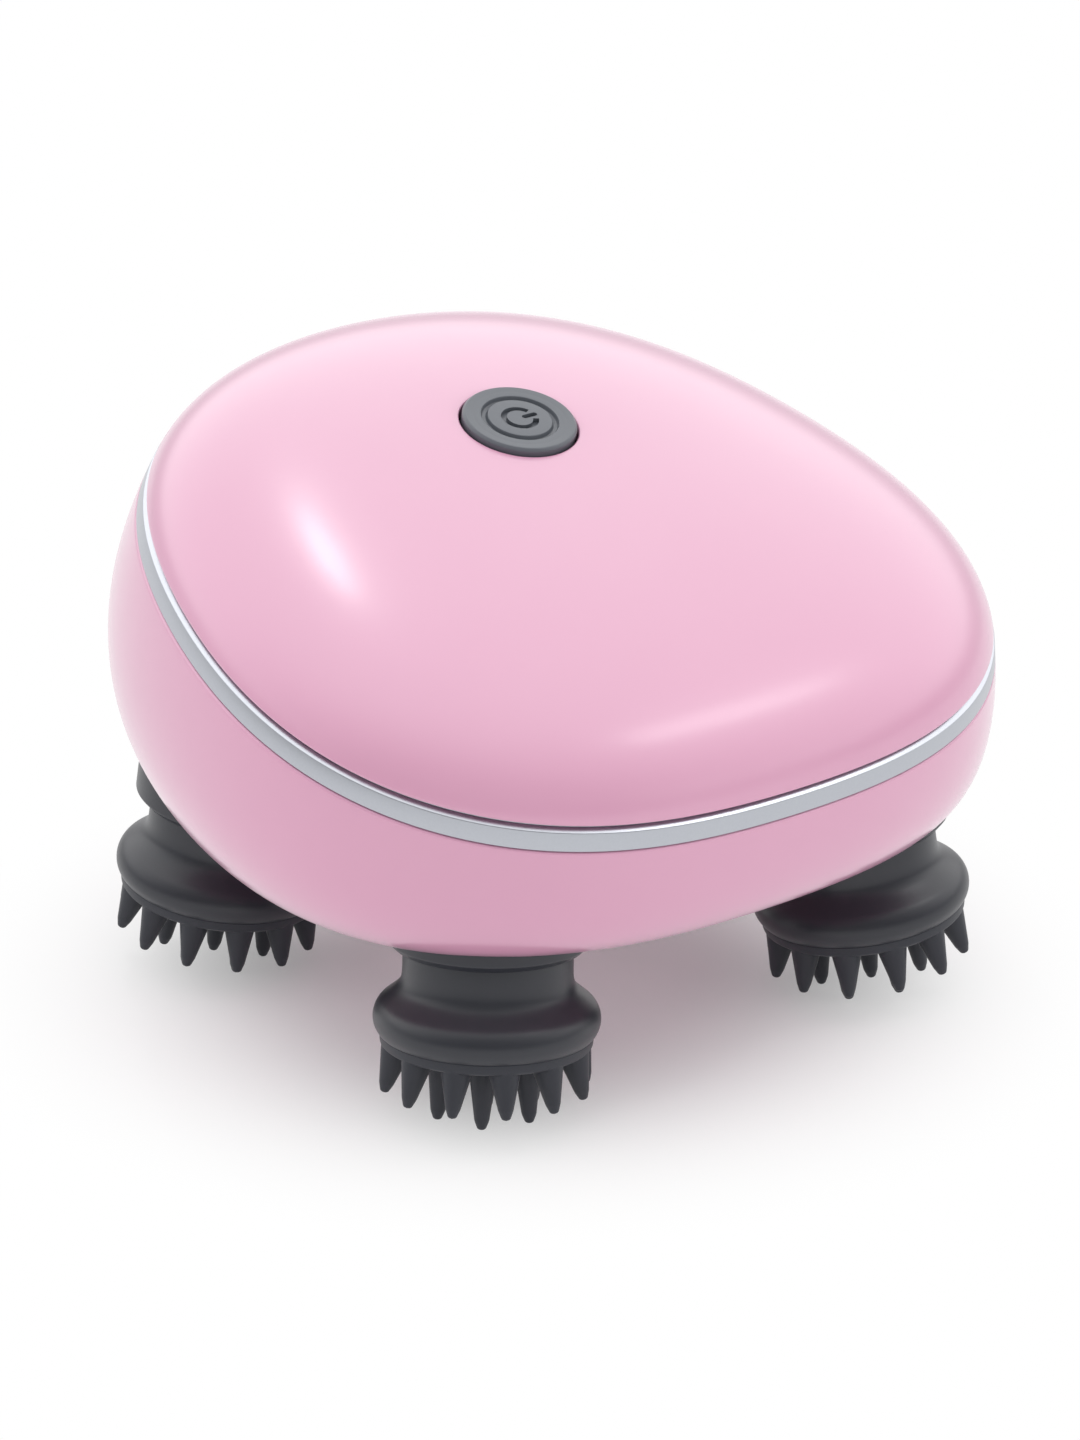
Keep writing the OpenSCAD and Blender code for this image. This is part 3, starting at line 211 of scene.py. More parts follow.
def rod(r, low, high, at=None, columns=64):
    """Skin of a plain round rod, as a tool for bores and bosses."""
    return turned([[0, low], [r, low], [r, high], [0, high]], columns, at)


def block(width, height, r, low, high, at):
    """Skin of a block with rounded corners: width by height, from low to high along its axis."""
    a = (np.arange(48) + 0.5) * np.pi / 24
    x = np.sign(np.cos(a)) * (width / 2 - r) + r * np.cos(a)
    y = np.sign(np.sin(a)) * (height / 2 - r) + r * np.sin(a)
    rings = np.stack([np.stack([x, y, 0 * a + z], -1) for z in (low, high)])
    points, faces = skin(rings, [0, 0, low], [0, 0, high])
    return moved(points, at), faces


# %% [markdown]
# Where a round hole or a boss has to meet a doubly curved shell, the exact cut line is hard to
# write down, so a Boolean modifier finds it. It is applied at once, and the tool piece is removed.
# A cutting tool reaches past the piece that it cuts, so that no thin skin is left.

# %% Cuts and joins
past = 1


def carve(obj, tool, operation="DIFFERENCE"):
    """obj with the tool cut away from it, or joined to it, as a plain mesh."""
    modifier = obj.modifiers.new("carve", "BOOLEAN")
    modifier.operation = operation
    modifier.object = tool
    modifier.solver = "MANIFOLD"
    bpy.context.view_layer.update()
    result = bpy.data.meshes.new_from_object(obj.evaluated_get(bpy.context.evaluated_depsgraph_get()))
    obj.modifiers.clear()
    obj.data = result
    bpy.data.objects.remove(tool)
    return obj


def is_closed(obj):
    """True where every edge has exactly two faces."""
    tester = bmesh.new()
    tester.from_mesh(obj.data)
    closed = all(e.is_manifold for e in tester.edges)
    tester.free()
    return closed


# %% [markdown]
# ## The body's shape
# Seen from above the body is nearly a circle with a flatter nose. Its seam slopes down to the
# front, so both halves are worked out in a frame that is tilted with it. The dome is a
# superellipse: flatter on top than a ball, and bent more tightly at the rim.

# %% Outline, dome and belly
def outline(a, inset=0.0):
    """Distance of the body's edge in direction a: a circle plus waves that come one to four times
    in a turn. The second is nought here, as length and width are the same."""
    blunt = nose_blunt * (np.cos(3 * a) - np.cos(a))
    return (body_l + body_w) / 4 + (body_l - body_w) / 4 * np.cos(2 * a) - blunt \
        + corner_fill * (1 - np.cos(4 * a)) - inset


def tilted(u, v, w):
    """Point of the seam's frame: u to the front, v to the side, w square to the seam."""
    x = u * np.cos(seam_slope) + w * np.sin(seam_slope) + body_x
    z = seam_z - u * np.sin(seam_slope) + w * np.cos(seam_slope)
    return np.stack(np.broadcast_arrays(x, v, z), -1)


def rise(a, p, inset=0.0):
    """Height of the dome at the share p of the way to its edge: (1 - p^n)^(1/n)."""
    round_off = np.clip(1 - p**dome_power, 0, None) ** (1 / dome_power)
    return (dome_h - inset) * (1 - dome_bias * p * np.cos(a)) * round_off


def rim(a, w, inset=0.0):
    """Distance of the dome's surface from the middle, at the height w above the seam."""
    top = (dome_h - inset) * (1 - dome_bias * np.cos(a))
    share = (1 - (w / top) ** dome_power) ** (1 / dome_power)
    return share * (outline(a, inset) - w * lean)


def on_dome(u, v, inset=0.0):
    """The dome's point over a plan position. Its share p solves p (outline - rise lean) = distance,
    and is found by halving an interval forty times for all points at once."""
    a, r = np.arctan2(v, u), np.hypot(u, v)
    low, high = np.zeros_like(r), np.ones_like(r)
    for _ in range(40):
        p = (low + high) / 2
        beyond = p * (outline(a, inset) - rise(a, p, inset) * lean) > r
        low, high = np.where(beyond, low, p), np.where(beyond, p, high)
    return tilted(u, v, rise(a, low, inset))


def belly(a, t, inset=0.0, lift=0.0):
    """Lower wall: a cubic curve from the seam at t = 0 to the edge of the flat underside at t = 1.
    It leaves the seam along the wall's lean and arrives level."""
    r = outline(a, inset) + seam_down * lean
    top = tilted(r * np.cos(a), r * np.sin(a), -seam_down)
    edge = outline(a)
    foot = np.stack(np.broadcast_arrays(
        body_x + floor_shift + (floor_l / 2 - inset) * edge * np.cos(a) / (body_l / 2),
        (floor_w / 2 - inset) * edge * np.sin(a) / (body_w / 2), floor_z + lift), -1)
    down = np.stack([-np.sin(seam_slope) + lean * np.cos(a) * np.cos(seam_slope), lean * np.sin(a),
                     -np.cos(seam_slope) - lean * np.cos(a) * np.sin(seam_slope)], -1)
    over = top - foot
    first = top + belly_pull * over[..., 2:] * down
    second = foot + floor_pull * over * [1, 1, 0]
    t = np.asarray(t)[..., None]
    return cubic(top, first, second, foot, t)


body_x = 0.0
wall_steps = np.array([0, 0.08, 0.18, 0.29, 0.41, 0.53, 0.65, 0.77, 0.89, 1])
rear_reach = belly(np.array([np.pi]), wall_steps)[:, 0].min()
front_reach = belly(np.array([0.0]), wall_steps)[:, 0].max()
body_x = -(rear_reach + front_reach) / 2
rear_x = body_x + rear_reach


def spine(u):
    """Point of the dome on the mirror plane, behind the middle."""
    return tilted(u, 0.0, rise(np.pi, abs(u) / outline(np.pi)))


button_at = spine(button_u)
run = spine(button_u + button_r) - spine(button_u - button_r)
button_lean = np.arctan2(-run[2], run[0])
at_button = place(tuple(button_at), (button_lean, "Y"))
print(f"the body stands {body_x:.3f} mm forward, its rear is at {rear_x:.3f} mm")


# %% [markdown]
# ## The upper shell
# On the real massager this is one glossy moulding, with a hole for the button and a short sleeve
# under it. Its skin is a closed torus: rows run from the rim of the button hole out over the dome,
# round the lower edge, back along the inside, and down and up the sleeve. Rows crowd where it bends
# most.

# %% Rows of the upper shell
first_row, last_row = np.radians(85), np.radians(4.5)


def arc(a, b, c, steps=5):
    """Rounded corner as rows between two rings a and c, with the ring b as its sharp corner."""
    s = np.linspace(0, 1, steps + 1)[1:-1, None, None]
    k = np.sqrt(0.5)
    bottom = (1 - s) ** 2 + 2 * s * (1 - s) * k + s**2
    return ((1 - s) ** 2 * a + 2 * s * (1 - s) * k * b + s**2 * c) / bottom


def dome_rows(hole, w_rim, inset, rows):
    """Rings over the dome from a circle round the button out to its rim. The share of the way is
    the superellipse's own cos^(2/n), from first_row near its top to last_row near its rim, which
    brings the rows closer where the dome bends down."""
    sigma = np.linspace(first_row, last_row, rows)[:, None]
    k = np.cos(sigma) ** (2 / dome_power)
    k = (k - k[0]) / (k[-1] - k[0])
    r = rim(turn, w_rim, inset)
    u = button_u + hole * np.cos(turn) + k * (r * np.cos(turn) - button_u - hole * np.cos(turn))
    v = hole * np.sin(turn) + k * (r - hole) * np.sin(turn)
    return on_dome(u, v, inset)


def button_ring(r, z):
    """Ring round the button's axis, at the height z above the dome there."""
    return moved(np.stack([r * np.cos(turn), r * np.sin(turn), z + 0 * turn], -1), at_button)


def rim_ring(w, inset=0.0, inwards=0.0):
    """Ring on the dome at the height w above the seam. inset shrinks the whole dome, and inwards
    only draws in the ring."""
    r = rim(turn, w, inset) - inwards
    return tilted(r * np.cos(turn), r * np.sin(turn), w)


hole_r = button_r + button_gap
bore_r = hole_r + button_rim
sleeve_r = bore_r + sleeve_wall
edge_r = 0.3
outside = dome_rows(hole_r + edge_r, seam_up + edge_r, 0, rows=84)
inside = dome_rows(sleeve_r, seam_up, wall, rows=30)
sharp_hole = on_dome(button_u + hole_r * np.cos(turn), hole_r * np.sin(turn))
normal = np.array(at_button)[:3, 2]
below_hole = sharp_hole - edge_r * normal
low_edge = rim_ring(seam_up, 0, edge_r)
shell_rows = np.concatenate([
    below_hole[None], arc(below_hole, sharp_hole, outside[0]), outside,
    arc(outside[-1], rim_ring(seam_up), low_edge), low_edge[None], inside[::-1],
    [button_ring(sleeve_r, -sleeve_depth), button_ring(bore_r, -sleeve_depth),
     button_ring(bore_r, -wall), button_ring(hole_r, -wall)],
])
upper_shell = make("shell_upper", skin(shell_rows, loop=True))
print("upper shell:", len(upper_shell.data.polygons), "faces")

# %% [markdown]
# Three posts under the dome take the case screws, and two bosses beside the button carry its
# circuit board. They end inside the wall, so that nothing shows outside.

# %% Posts and bosses under the dome
gear_rise, gear_t, hub_rise, turn_gap, tooth_gap = 9.6, 3, 0.8, 0.35, 0.8
teeth, head_teeth, addendum = 48, 16, 0.85
plate_gap, plate_t, post_r, screw_r, screw_grip, pilot = 2.5, 2.4, 3.5, 1.5, 10, 0.85
board_back, board_screw_y, board_top = 1, 15, -13.7
board_boss_r, board_screw_r, board_grip = 2.4, 0.9, 4
gear_z = floor_z + gear_rise
reach = head_reach - (gear_z - rim_z) * np.tan(splay)
module = reach / (teeth / 2 + head_teeth / 2 / np.cos(splay))
post_reach = module * (teeth / 2 + addendum) + post_r + tooth_gap
plate_z = gear_z + gear_t / 2 + plate_gap
plate_top = plate_z + plate_t
case_turns, rear_turns = np.radians([0, 90, -90]), np.radians([158, 202])


def spot(a):
    """Matrix that stands a post on the circle of posts, in direction a."""
    return place((drive_x + post_reach * np.cos(a), post_reach * np.sin(a), 0))


def dome_z(x, y, inset):
    """Height of the dome over a place on the floor, read from a row of points 0.25 mm apart."""
    u = np.linspace(-50, 50, 401)
    row = on_dome(u, np.full_like(u, y), inset)
    return np.interp(x, row[:, 0], row[:, 2])


def boss_top(at):
    """Lowest height at which the edge of a post meets the middle of the dome's wall."""
    x, y = at.translation[:2]
    s = np.radians(np.arange(0, 360, 30))
    return min(dome_z(x + post_r * np.cos(t), y + post_r * np.sin(t), wall / 2) for t in s)


boards = [at_button @ place((-board_back, y, 0)) for y in (-board_screw_y, board_screw_y)]
posts = [rod(post_r, plate_top, boss_top(spot(a)), spot(a)) for a in case_turns]
posts += [rod(board_boss_r, board_top, -wall, at) for at in boards]
carve(upper_shell, make("tool", *posts), "UNION")
bores = [rod(screw_r * pilot, plate_top - past, plate_top + screw_grip + past, spot(a), 32)
         for a in case_turns]
bores += [rod(board_screw_r * pilot, board_top - past, board_top + board_grip + past, at, 32)
          for at in boards]
carve(upper_shell, make("tool", *bores))
smooth(upper_shell)
print("posts end at", [round(float(boss_top(spot(a))), 1) for a in case_turns], "mm")
print("upper shell closed:", is_closed(upper_shell))

# %% [markdown]
# ## The lower shell
# It hangs from the seam, bulges a little and turns in to a flat underside. Its skin starts at a
# pole in the middle of the underside, climbs the outside, rounds the top edge and goes back down
# the inside to a second pole.

# %% Lower shell
climb = np.linspace(1, 0.006, 90)[:, None]
flat = np.linspace(0.1, 0.98, 10)[:, None, None]


def flat_rows(inset, lift):
    """Rings of the flat underside, shrunk towards its middle."""
    middle = np.array([body_x + floor_shift, 0, floor_z + lift])
    return middle + flat * (belly(turn, np.ones(around), inset, lift) - middle)


outer_wall = belly(turn, climb)
inner_wall = belly(turn, np.linspace(0, 1, 30)[:, None], wall, floor_t)
top_edge = belly(turn, np.zeros(around))
to_middle = inner_wall[0] - top_edge
top_flat = top_edge + edge_r * to_middle / np.linalg.norm(to_middle, axis=1, keepdims=True)
pole = np.array([body_x + floor_shift, 0, floor_z])
lower_rows = np.concatenate([
    flat_rows(0, 0), outer_wall, arc(outer_wall[-1], top_edge, top_flat), top_flat[None],
    inner_wall, flat_rows(wall, floor_t)[::-1],
])
lower_shell = make("shell_lower", skin(lower_rows, pole, pole + [0, 0, floor_t]))
print("lower shell:", len(lower_shell.data.polygons), "faces, closed:", is_closed(lower_shell))


# %% [markdown]
# The heads' collars pass through round holes, one for each head, square to its tilted spindle.
# One matrix for each head places everything that belongs to it.

# %% Places of the four heads
collar_r, collar_z, collar_top, collar_fit = 13.2, 13.4, 23.4, 0.05
heads = [place((drive_x, 0, 0), (t, "Z"), (head_reach, 0, rim_z), (-splay, "Y"))
         for t in head_turns]
print("heads stand at", [[round(v, 1) for v in head.translation] for head in heads])

# %% [markdown]
# Inside, five posts carry the gear plate and a boss carries the middle axle. From below, three
# screws sit in counterbores. At the back a recess takes the cover of the charging port, with the
# socket's hole behind it and a small bore on each side for the cover's hinge pin.

# %% Posts, bores and the charging port
screw_fit, screw_head_r, sink_depth, rear_grip = 0.15, 2.7, 1.9, 6
axle_r, axle_wall, seat_fit = 2, 2.5, 0.02
port_rise, port_wall, port_back, port_bite, port_corner, recess_corner = 25, 2, 0.8, 0.2, 0.8, 0.4
socket_w, socket_h, socket_d = 8.9, 3.2, 6.6
cover_w, cover_h, cover_t, cover_gap, cover_sink = 13, 7, 2.4, 0.3, 0.3
cover_pin_r, cover_pin_l, pin_fit, pin_end_gap = 0.5, 1.2, 0.05, 0.1
post_foot = floor_z + floor_t / 2
port_z, cover_x = floor_z + port_rise, rear_x + cover_sink
socket_x = cover_x + cover_t + cover_gap
recess_w, recess_h = cover_w + 2 * cover_gap, cover_h + 2 * cover_gap
hinge_x, hinge_z = cover_x + cover_t / 2, port_z - cover_h / 2 + cover_t / 2
at_port = place((0, 0, port_z), (np.pi / 2, "Y"))
at_hinge = place((hinge_x, 0, hinge_z), (np.pi / 2, "X"))
at_axle = place((drive_x, 0, 0))
every_post = [*case_turns, *rear_turns]
inner = [rod(post_r, post_foot, plate_z, spot(a)) for a in every_post]
inner += [rod(axle_r + axle_wall, post_foot, gear_z - gear_t / 2 - hub_rise - turn_gap, at_axle)]
inner += [block(recess_h + 2 * port_wall, recess_w + 2 * port_wall, port_corner,
                rear_x + wall - port_bite, socket_x + port_wall + port_back, at_port)]
carve(lower_shell, make("tool", *inner), "UNION")
cuts = [rod(collar_r + collar_fit, collar_z, collar_top + 2 * past, head, 128) for head in heads]
cuts += [rod(screw_head_r + 2 * screw_fit, floor_z - past, floor_z + sink_depth, spot(a))
         for a in case_turns]
cuts += [rod(screw_r * pilot, plate_z - rear_grip, plate_z + past, spot(a), 32) for a in rear_turns]
cuts += [rod(axle_r + seat_fit, post_foot, post_foot + gear_rise, at_axle)]
cuts += [block(recess_h, recess_w, recess_corner, rear_x - past, socket_x, at_port)]
carve(lower_shell, make("tool", *cuts))
cuts = [rod(screw_r + screw_fit, floor_z, plate_z + past, spot(a), 32) for a in case_turns]
cuts += [block(socket_h + 2 * screw_fit, socket_w + 2 * screw_fit, socket_h / 2 + screw_fit,
               socket_x - past, socket_x + socket_d, at_port)]
cuts += [rod(cover_pin_r + pin_fit, -recess_w / 2 - cover_pin_l - pin_end_gap,
             recess_w / 2 + cover_pin_l + pin_end_gap, at_hinge, 24)]
carve(lower_shell, make("tool", *cuts))
smooth(lower_shell, 30)
print("lower shell with its bores:", len(lower_shell.data.polygons), "faces")
print("lower shell closed:", is_closed(lower_shell))

# %% [markdown]
# ## The port's cover
# A soft silicone door, moulded in the shell's pink, with a round lower edge that turns on a thin
# pin. Its section is carried along the pin and shrinks at both ends, which rounds them. A small
# plug on its back closes the socket.

# %% Port cover
def cover_section(d):
    """The door's outline, d inside its full size: a half circle below, rounded corners above."""
    r, top = cover_t / 2 - d, cover_h - cover_t / 2 - d
    a = np.radians(np.arange(180, 361, 10))
    upper = fillet([[r, 0, 0], [r, top, 0.35], [-r, top, 0.8], [-r, 0, 0]])[1:-1]
    return np.concatenate([r * np.stack([np.cos(a), np.sin(a)], -1), upper])


edge = np.linspace(np.pi / 2, 0, 6)
soft = 0.45
depth = soft * (1 - np.cos(edge))
side = cover_w / 2 - soft + soft * np.sin(edge)
rows = [(-y, d) for y, d in zip(side, depth)] + [(y, d) for y, d in zip(side[::-1], depth[::-1])]
section_rows = np.stack([np.insert(cover_section(d), 1, y, 1) for y, d in rows])
section_rows += [hinge_x, 0, hinge_z]
port_cover = make("port_cover_soft",
                  skin(section_rows, section_rows[0].mean(0), section_rows[-1].mean(0)))
plug_h, plug_in, plug_corner = 1.5, 0.5, 0.5
plug_end = cover_x + cover_t + cover_gap + plug_in
for tool in (block(plug_h, socket_w - socket_h, plug_corner, cover_x + cover_t / 2, plug_end, at_port),
             rod(cover_pin_r, -recess_w / 2 - cover_pin_l + cover_gap,
                 recess_w / 2 + cover_pin_l - cover_gap, at_hinge, 24)):
    carve(port_cover, make("tool", tool), "UNION")
smooth(port_cover, 35)
print("port cover closed:", is_closed(port_cover))

# %% [markdown]
# ## The silver ring
# A thin aluminium ring lies between the shells. Its section is a small polygon with a flat bevel
# along the top edge, which mirrors the light from above as a bright line. The section is carried
# round the outline and leans with the wall.

# %% Trim ring
deep, back = wall + lip_gap, wall + lip_gap + lip_t
section = fillet([
    [0, -trim_h / 2, 0.12], [0, trim_h / 2 - bevel_h, 0.12], [bevel_d, trim_h / 2, 0.1],
    [trim_d, trim_h / 2, 0], [trim_d, seam_up, 0], [deep, seam_up, 0], [deep, seam_up + lip_h, 0],
    [back, seam_up + lip_h, 0], [back, -seam_down - lip_h, 0], [deep, -seam_down - lip_h, 0],
    [deep, -seam_down, 0], [trim_d, -seam_down, 0], [trim_d, -trim_h / 2, 0],
], 4)
ring_r = outline(turn) - section[:, :1] - section[:, 1:] * lean
trim = smooth(make("trim_silver", skin(
    tilted(ring_r * np.cos(turn), ring_r * np.sin(turn), section[:, 1:] + 0 * ring_r), loop=True)))
print("trim ring closed:", is_closed(trim))

# %% [markdown]
# ## The button
# A dark cap with a soft shoulder, a ring groove and an engraved standby mark: an open circle with
# a bar through its gap. The cap is a turned profile; the mark is cut from it.

# %% Button cap
button_rise, dish = 0.8, 0.1
groove_r, groove_w, groove_d, groove_slope = 5.25, 0.95, 0.6, 0.2
mark_depth, mark_r, mark_line, mark_gap = 0.6, 2.15, 0.8, np.radians(26)
bar_low, bar_over = 0.4, 0.2
face = button_rise - dish
cap_rim_top = -wall - 1
cap_rim_low = cap_rim_top - button_rim
stem_r, stem_low = 2.4, -8.4
cap = turned(fillet([
    [0, face, 0], [groove_r - groove_w, face, 0.14],
    [groove_r - groove_w + groove_slope, face - groove_d, 0.2],
    [groove_r - groove_slope, face - groove_d, 0.2], [groove_r, face, 0.14], [button_r - 1.4, face, 0.8],
    [button_r - 0.35, button_rise - 0.03, 0.3], [button_r, button_rise - 0.4, 0.35],
    [button_r, cap_rim_top, 0], [button_r + button_rim, cap_rim_top, 0.15],
    [button_r + button_rim, cap_rim_low, 0.15], [stem_r, cap_rim_low, 0], [stem_r, stem_low, 0.2],
    [0, stem_low, 0],
]), 160, at_button)
button = make("button_cap_round", cap)
sweep = np.linspace(np.pi / 2 + mark_gap, 2.5 * np.pi - mark_gap, 60)
across = np.array([mark_r - mark_line / 2, mark_r + mark_line / 2, mark_r + mark_line / 2,
                   mark_r - mark_line / 2])[None, :]
level = np.array([face - mark_depth, face - mark_depth, face + past, face + past])[None, :]
bow = np.stack([across * np.cos(sweep)[:, None], across * np.sin(sweep)[:, None],
                level + 0 * sweep[:, None]], -1)
bow_points, bow_faces = skin(bow, bow[0].mean(0), bow[-1].mean(0))
carve(button, make("tool", (moved(bow_points, at_button), bow_faces)))
s = np.linspace(0, 2 * np.pi, 32, endpoint=False)
half = (mark_r + bar_over) / 2 - mark_line / 2
bar_x = mark_line / 2 * np.cos(s)
upper_end = np.sign(np.sin(s) + 1e-9)
bar_y = mark_line / 2 * np.sin(s) + half * upper_end + bar_low + half + mark_line / 2
bar = np.stack([np.stack([bar_x, bar_y, 0 * s + h], -1) for h in (face - mark_depth, face + past)])
bar_points, bar_faces = skin(bar, bar[0].mean(0), bar[1].mean(0))
carve(button, make("tool", (moved(bar_points, at_button), bar_faces)))
smooth(button, 30)
print("button closed:", is_closed(button))

# %% [markdown]
# ## The heads
# Each head is a hub, whose neck flares into a broad round shoulder, and a soft pad with nineteen
# short cones. A fixed collar joins it to the body. Hub, pad and collar are turned profiles. They
# are worked out once, upright, and then placed four times.

# %% Hub and collar profiles
flange_r, roll_r, roll_z, neck_r, flare_z = 14.7, 3, 3.7, 11, 10.6
pad_seam, pad_r, pad_bulge = 1.6, 13.7, 1.6
spindle_r, bush_r, bush_boss_r = 2.5, 4.5, 7
neck_in, socket_step, seal_step, hub_plate, seal_h = 0.7, 1.2, 0.5, 3.4, 0.7
neck_pull, shoulder_pull = 2.4, 3
collar_wall, collar_web, collar_chamfer = 1.5, 2.4, 0.9
neck_top = collar_z + neck_in
seal_low = neck_top + turn_gap
bush_low = seal_low + seal_h
spindle_low = pad_seam + hub_plate
flare_turn = np.radians(52)
roll_x = flange_r - roll_r
flare_end = np.array([roll_x + roll_r * np.cos(flare_turn), roll_z + roll_r * np.sin(flare_turn)])
flare = [np.array([neck_r, flare_z]), np.array([neck_r, flare_z - neck_pull]),
         flare_end + shoulder_pull * np.array([-np.sin(flare_turn), np.cos(flare_turn)]), flare_end]
t = np.linspace(0, 1, 22)[:, None]
flare_curve = cubic(*flare, t)
seam_turn = np.arcsin((pad_seam - roll_z) / roll_r)
roll = np.linspace(flare_turn, seam_turn, 18)[1:]
roll_curve = np.stack([roll_x + roll_r * np.cos(roll), roll_z + roll_r * np.sin(roll)], -1)
seal_r = bush_boss_r - seal_step
hub_profile = np.concatenate([
    [[spindle_r + seat_fit, neck_top - socket_step], [seal_r, neck_top - socket_step],
     [seal_r, neck_top]],
    fillet([[seal_r, neck_top, 0], [neck_r, neck_top, 0.5], [neck_r, flare_z, 0]])[1:-1],
    flare_curve, roll_curve,
    fillet([[*roll_curve[-1], 0], [roll_curve[-1][0] - 0.35, pad_seam, 0.1], [0, pad_seam, 0]])[1:],
    [[0, spindle_low], [spindle_r + seat_fit, spindle_low]],
])
collar_profile = fillet([
    [collar_r - collar_wall, collar_z, 0.2], [collar_r - collar_chamfer, collar_z, 0.35],
    [collar_r, collar_z + collar_chamfer, 0.4], [collar_r, collar_top, 0.2],
    [bush_r + seat_fit, collar_top, 0], [bush_r + seat_fit, bush_low, 0],
    [bush_boss_r, bush_low, 0], [bush_boss_r, collar_top - collar_web, 0],
    [collar_r - collar_wall, collar_top - collar_web, 0.4],
])
print("hub profile has", len(hub_profile), "points, collar profile", len(collar_profile))


# %% [markdown]
# A nub is a cone with a round tip and a flared foot, so that it seems to grow out of the pad. All
# nineteen are joined to the turned pad with Boolean unions, once, and the result is copied. The
# inner ring is turned by half a step, so that its nubs show between the outer ones.

# %% Pad with nubs
outer_nubs, inner_nubs, nub_seat, nub_turn = 12, 6, 0.5, np.radians(-9)


def nub(root_ring, tip_ring, length, angle):
    """Skin of one nub: a short flare at the foot, a straight taper and a round tip."""
    root, tip = np.array([root_ring, 0, nub_seat]), np.array([tip_ring, 0, nub_tip_r - length])
    run = np.linalg.norm(tip - root)
    turn_over = np.arccos((tip - root)[2] / run)
    body = fillet([[0, 0, 0], [nub_root_r + 0.15, 0, 0], [nub_root_r - 0.05, 1.1, 1.6],
                   [nub_tip_r + 0.12, run - 0.4, 2.5],
                   [nub_tip_r * 0.62, run + nub_tip_r * 0.86, 0.5], [0, run + nub_tip_r, 0]], 8)
    return turned(body, 28, place((angle, "Z"), tuple(root), (turn_over, "Y")))


pad_shape = make("pad_shape", turned(fillet([
    [0, pad_seam, 0], [pad_r + 0.15, pad_seam, 0.12], [pad_r, 0.15, 0.6], [pad_r - 0.9, 0, 0.5],
    [pad_r * 0.75, -pad_bulge * 0.45, 4], [pad_r * 0.45, -pad_bulge * 0.85, 4], [0, -pad_bulge, 0],
], 5), 160))
for n in range(outer_nubs):
    angle = nub_turn + 2 * np.pi * n / outer_nubs
    carve(pad_shape, make("tool", nub(outer_ring_r, outer_tip_ring_r, outer_nub_l, angle)), "UNION")
for n in range(inner_nubs):
    angle = nub_turn + np.pi / outer_nubs + 2 * np.pi * n / inner_nubs
    carve(pad_shape, make("tool", nub(inner_ring_r, inner_tip_ring_r, inner_nub_l, angle)), "UNION")
carve(pad_shape, make("tool", nub(0, 0, inner_nub_l, 0)), "UNION")
print("pad:", len(pad_shape.data.polygons), "faces, closed:", is_closed(pad_shape))

# %% [markdown]
# Hubs and collars are turned again for each head, straight into its place. The pad's mesh is
# copied, and its points are carried there.

# %% Place the heads
hubs, pads, collars = [], [], []
for n, head in enumerate(heads, 1):
    hubs.append(smooth(make(f"hub_{n}", turned(hub_profile, 160, head)), 40))
    collars.append(smooth(make(f"collar_{n}", turned(collar_profile, 160, head)), 40))
    pad = bpy.data.objects.new(f"pad_{n}", pad_shape.data.copy())
    bpy.context.scene.collection.objects.link(pad)
    to_head = head.copy()
    to_head.translation *= mm
    pad.data.transform(to_head)
    pads.append(smooth(pad, 40))
bpy.data.objects.remove(pad_shape)
print("placed", len(hubs) + len(pads) + len(collars), "head pieces")


# %% [markdown]
# ## Colours and nodes
# Colours are written as on a paint card, in sRGB hex, and the shader needs them linear. One small
# function adds a node, sets what it is told and links its inputs. An input is given by its name,
# or as i0, i1 and so on by its number.

# %% Colour and node helpers
def linear(code):
    """Linear RGBA of an sRGB hex colour: x / 12.92 near black, else ((x + 0.055) / 1.055)^2.4."""
    x = np.array([int(code[i:i + 2], 16) for i in (1, 3, 5)]) / 255
    return (*np.where(x <= 0.04045, x / 12.92, ((x + 0.055) / 1.055) ** 2.4), 1.0)


def add(tree, kind, settings=None, **inputs):
    """A node of that kind. Each input takes a plain value or another node's output socket."""
    node = tree.nodes.new("ShaderNode" + kind)
    for key, value in (settings or {}).items():
        setattr(node, key, value)
    for key, value in inputs.items():
        by_number = key[0] == "i" and key[1:].isdigit()
        socket = node.inputs[int(key[1:]) if by_number else key.replace("_", " ")]
        if isinstance(value, bpy.types.NodeSocket):
            tree.links.new(value, socket)
        else:
            socket.default_value = value
    return node


def material(name):
    """An empty material with its output node and an Object coordinate to hang patterns on."""
    made = bpy.data.materials.new(name)
    made.use_nodes = True
    made.node_tree.nodes.clear()
    tree = made.node_tree
    return made, tree, add(tree, "OutputMaterial"), add(tree, "TexCoord").outputs["Object"]


# %% [markdown]
# ## Lacquered ABS
# Both shells are injection-moulded ABS, painted pink under a clear lacquer. The paint is satin and
# gives the eye its even colour. The lacquer lays soft white highlights over it, strongest where
# the surface turns away. A faint waviness, a few millimetres across as on every moulded part,
# keeps them alive. The other plastics are bare, and differ in shade, gloss and grain only. The
# hubs are satin charcoal ABS. Their pads are silicone, a shade lighter and duller, so that the
# seam between the two shows.

# %% Moulded plastics
patch_mm = 14.0


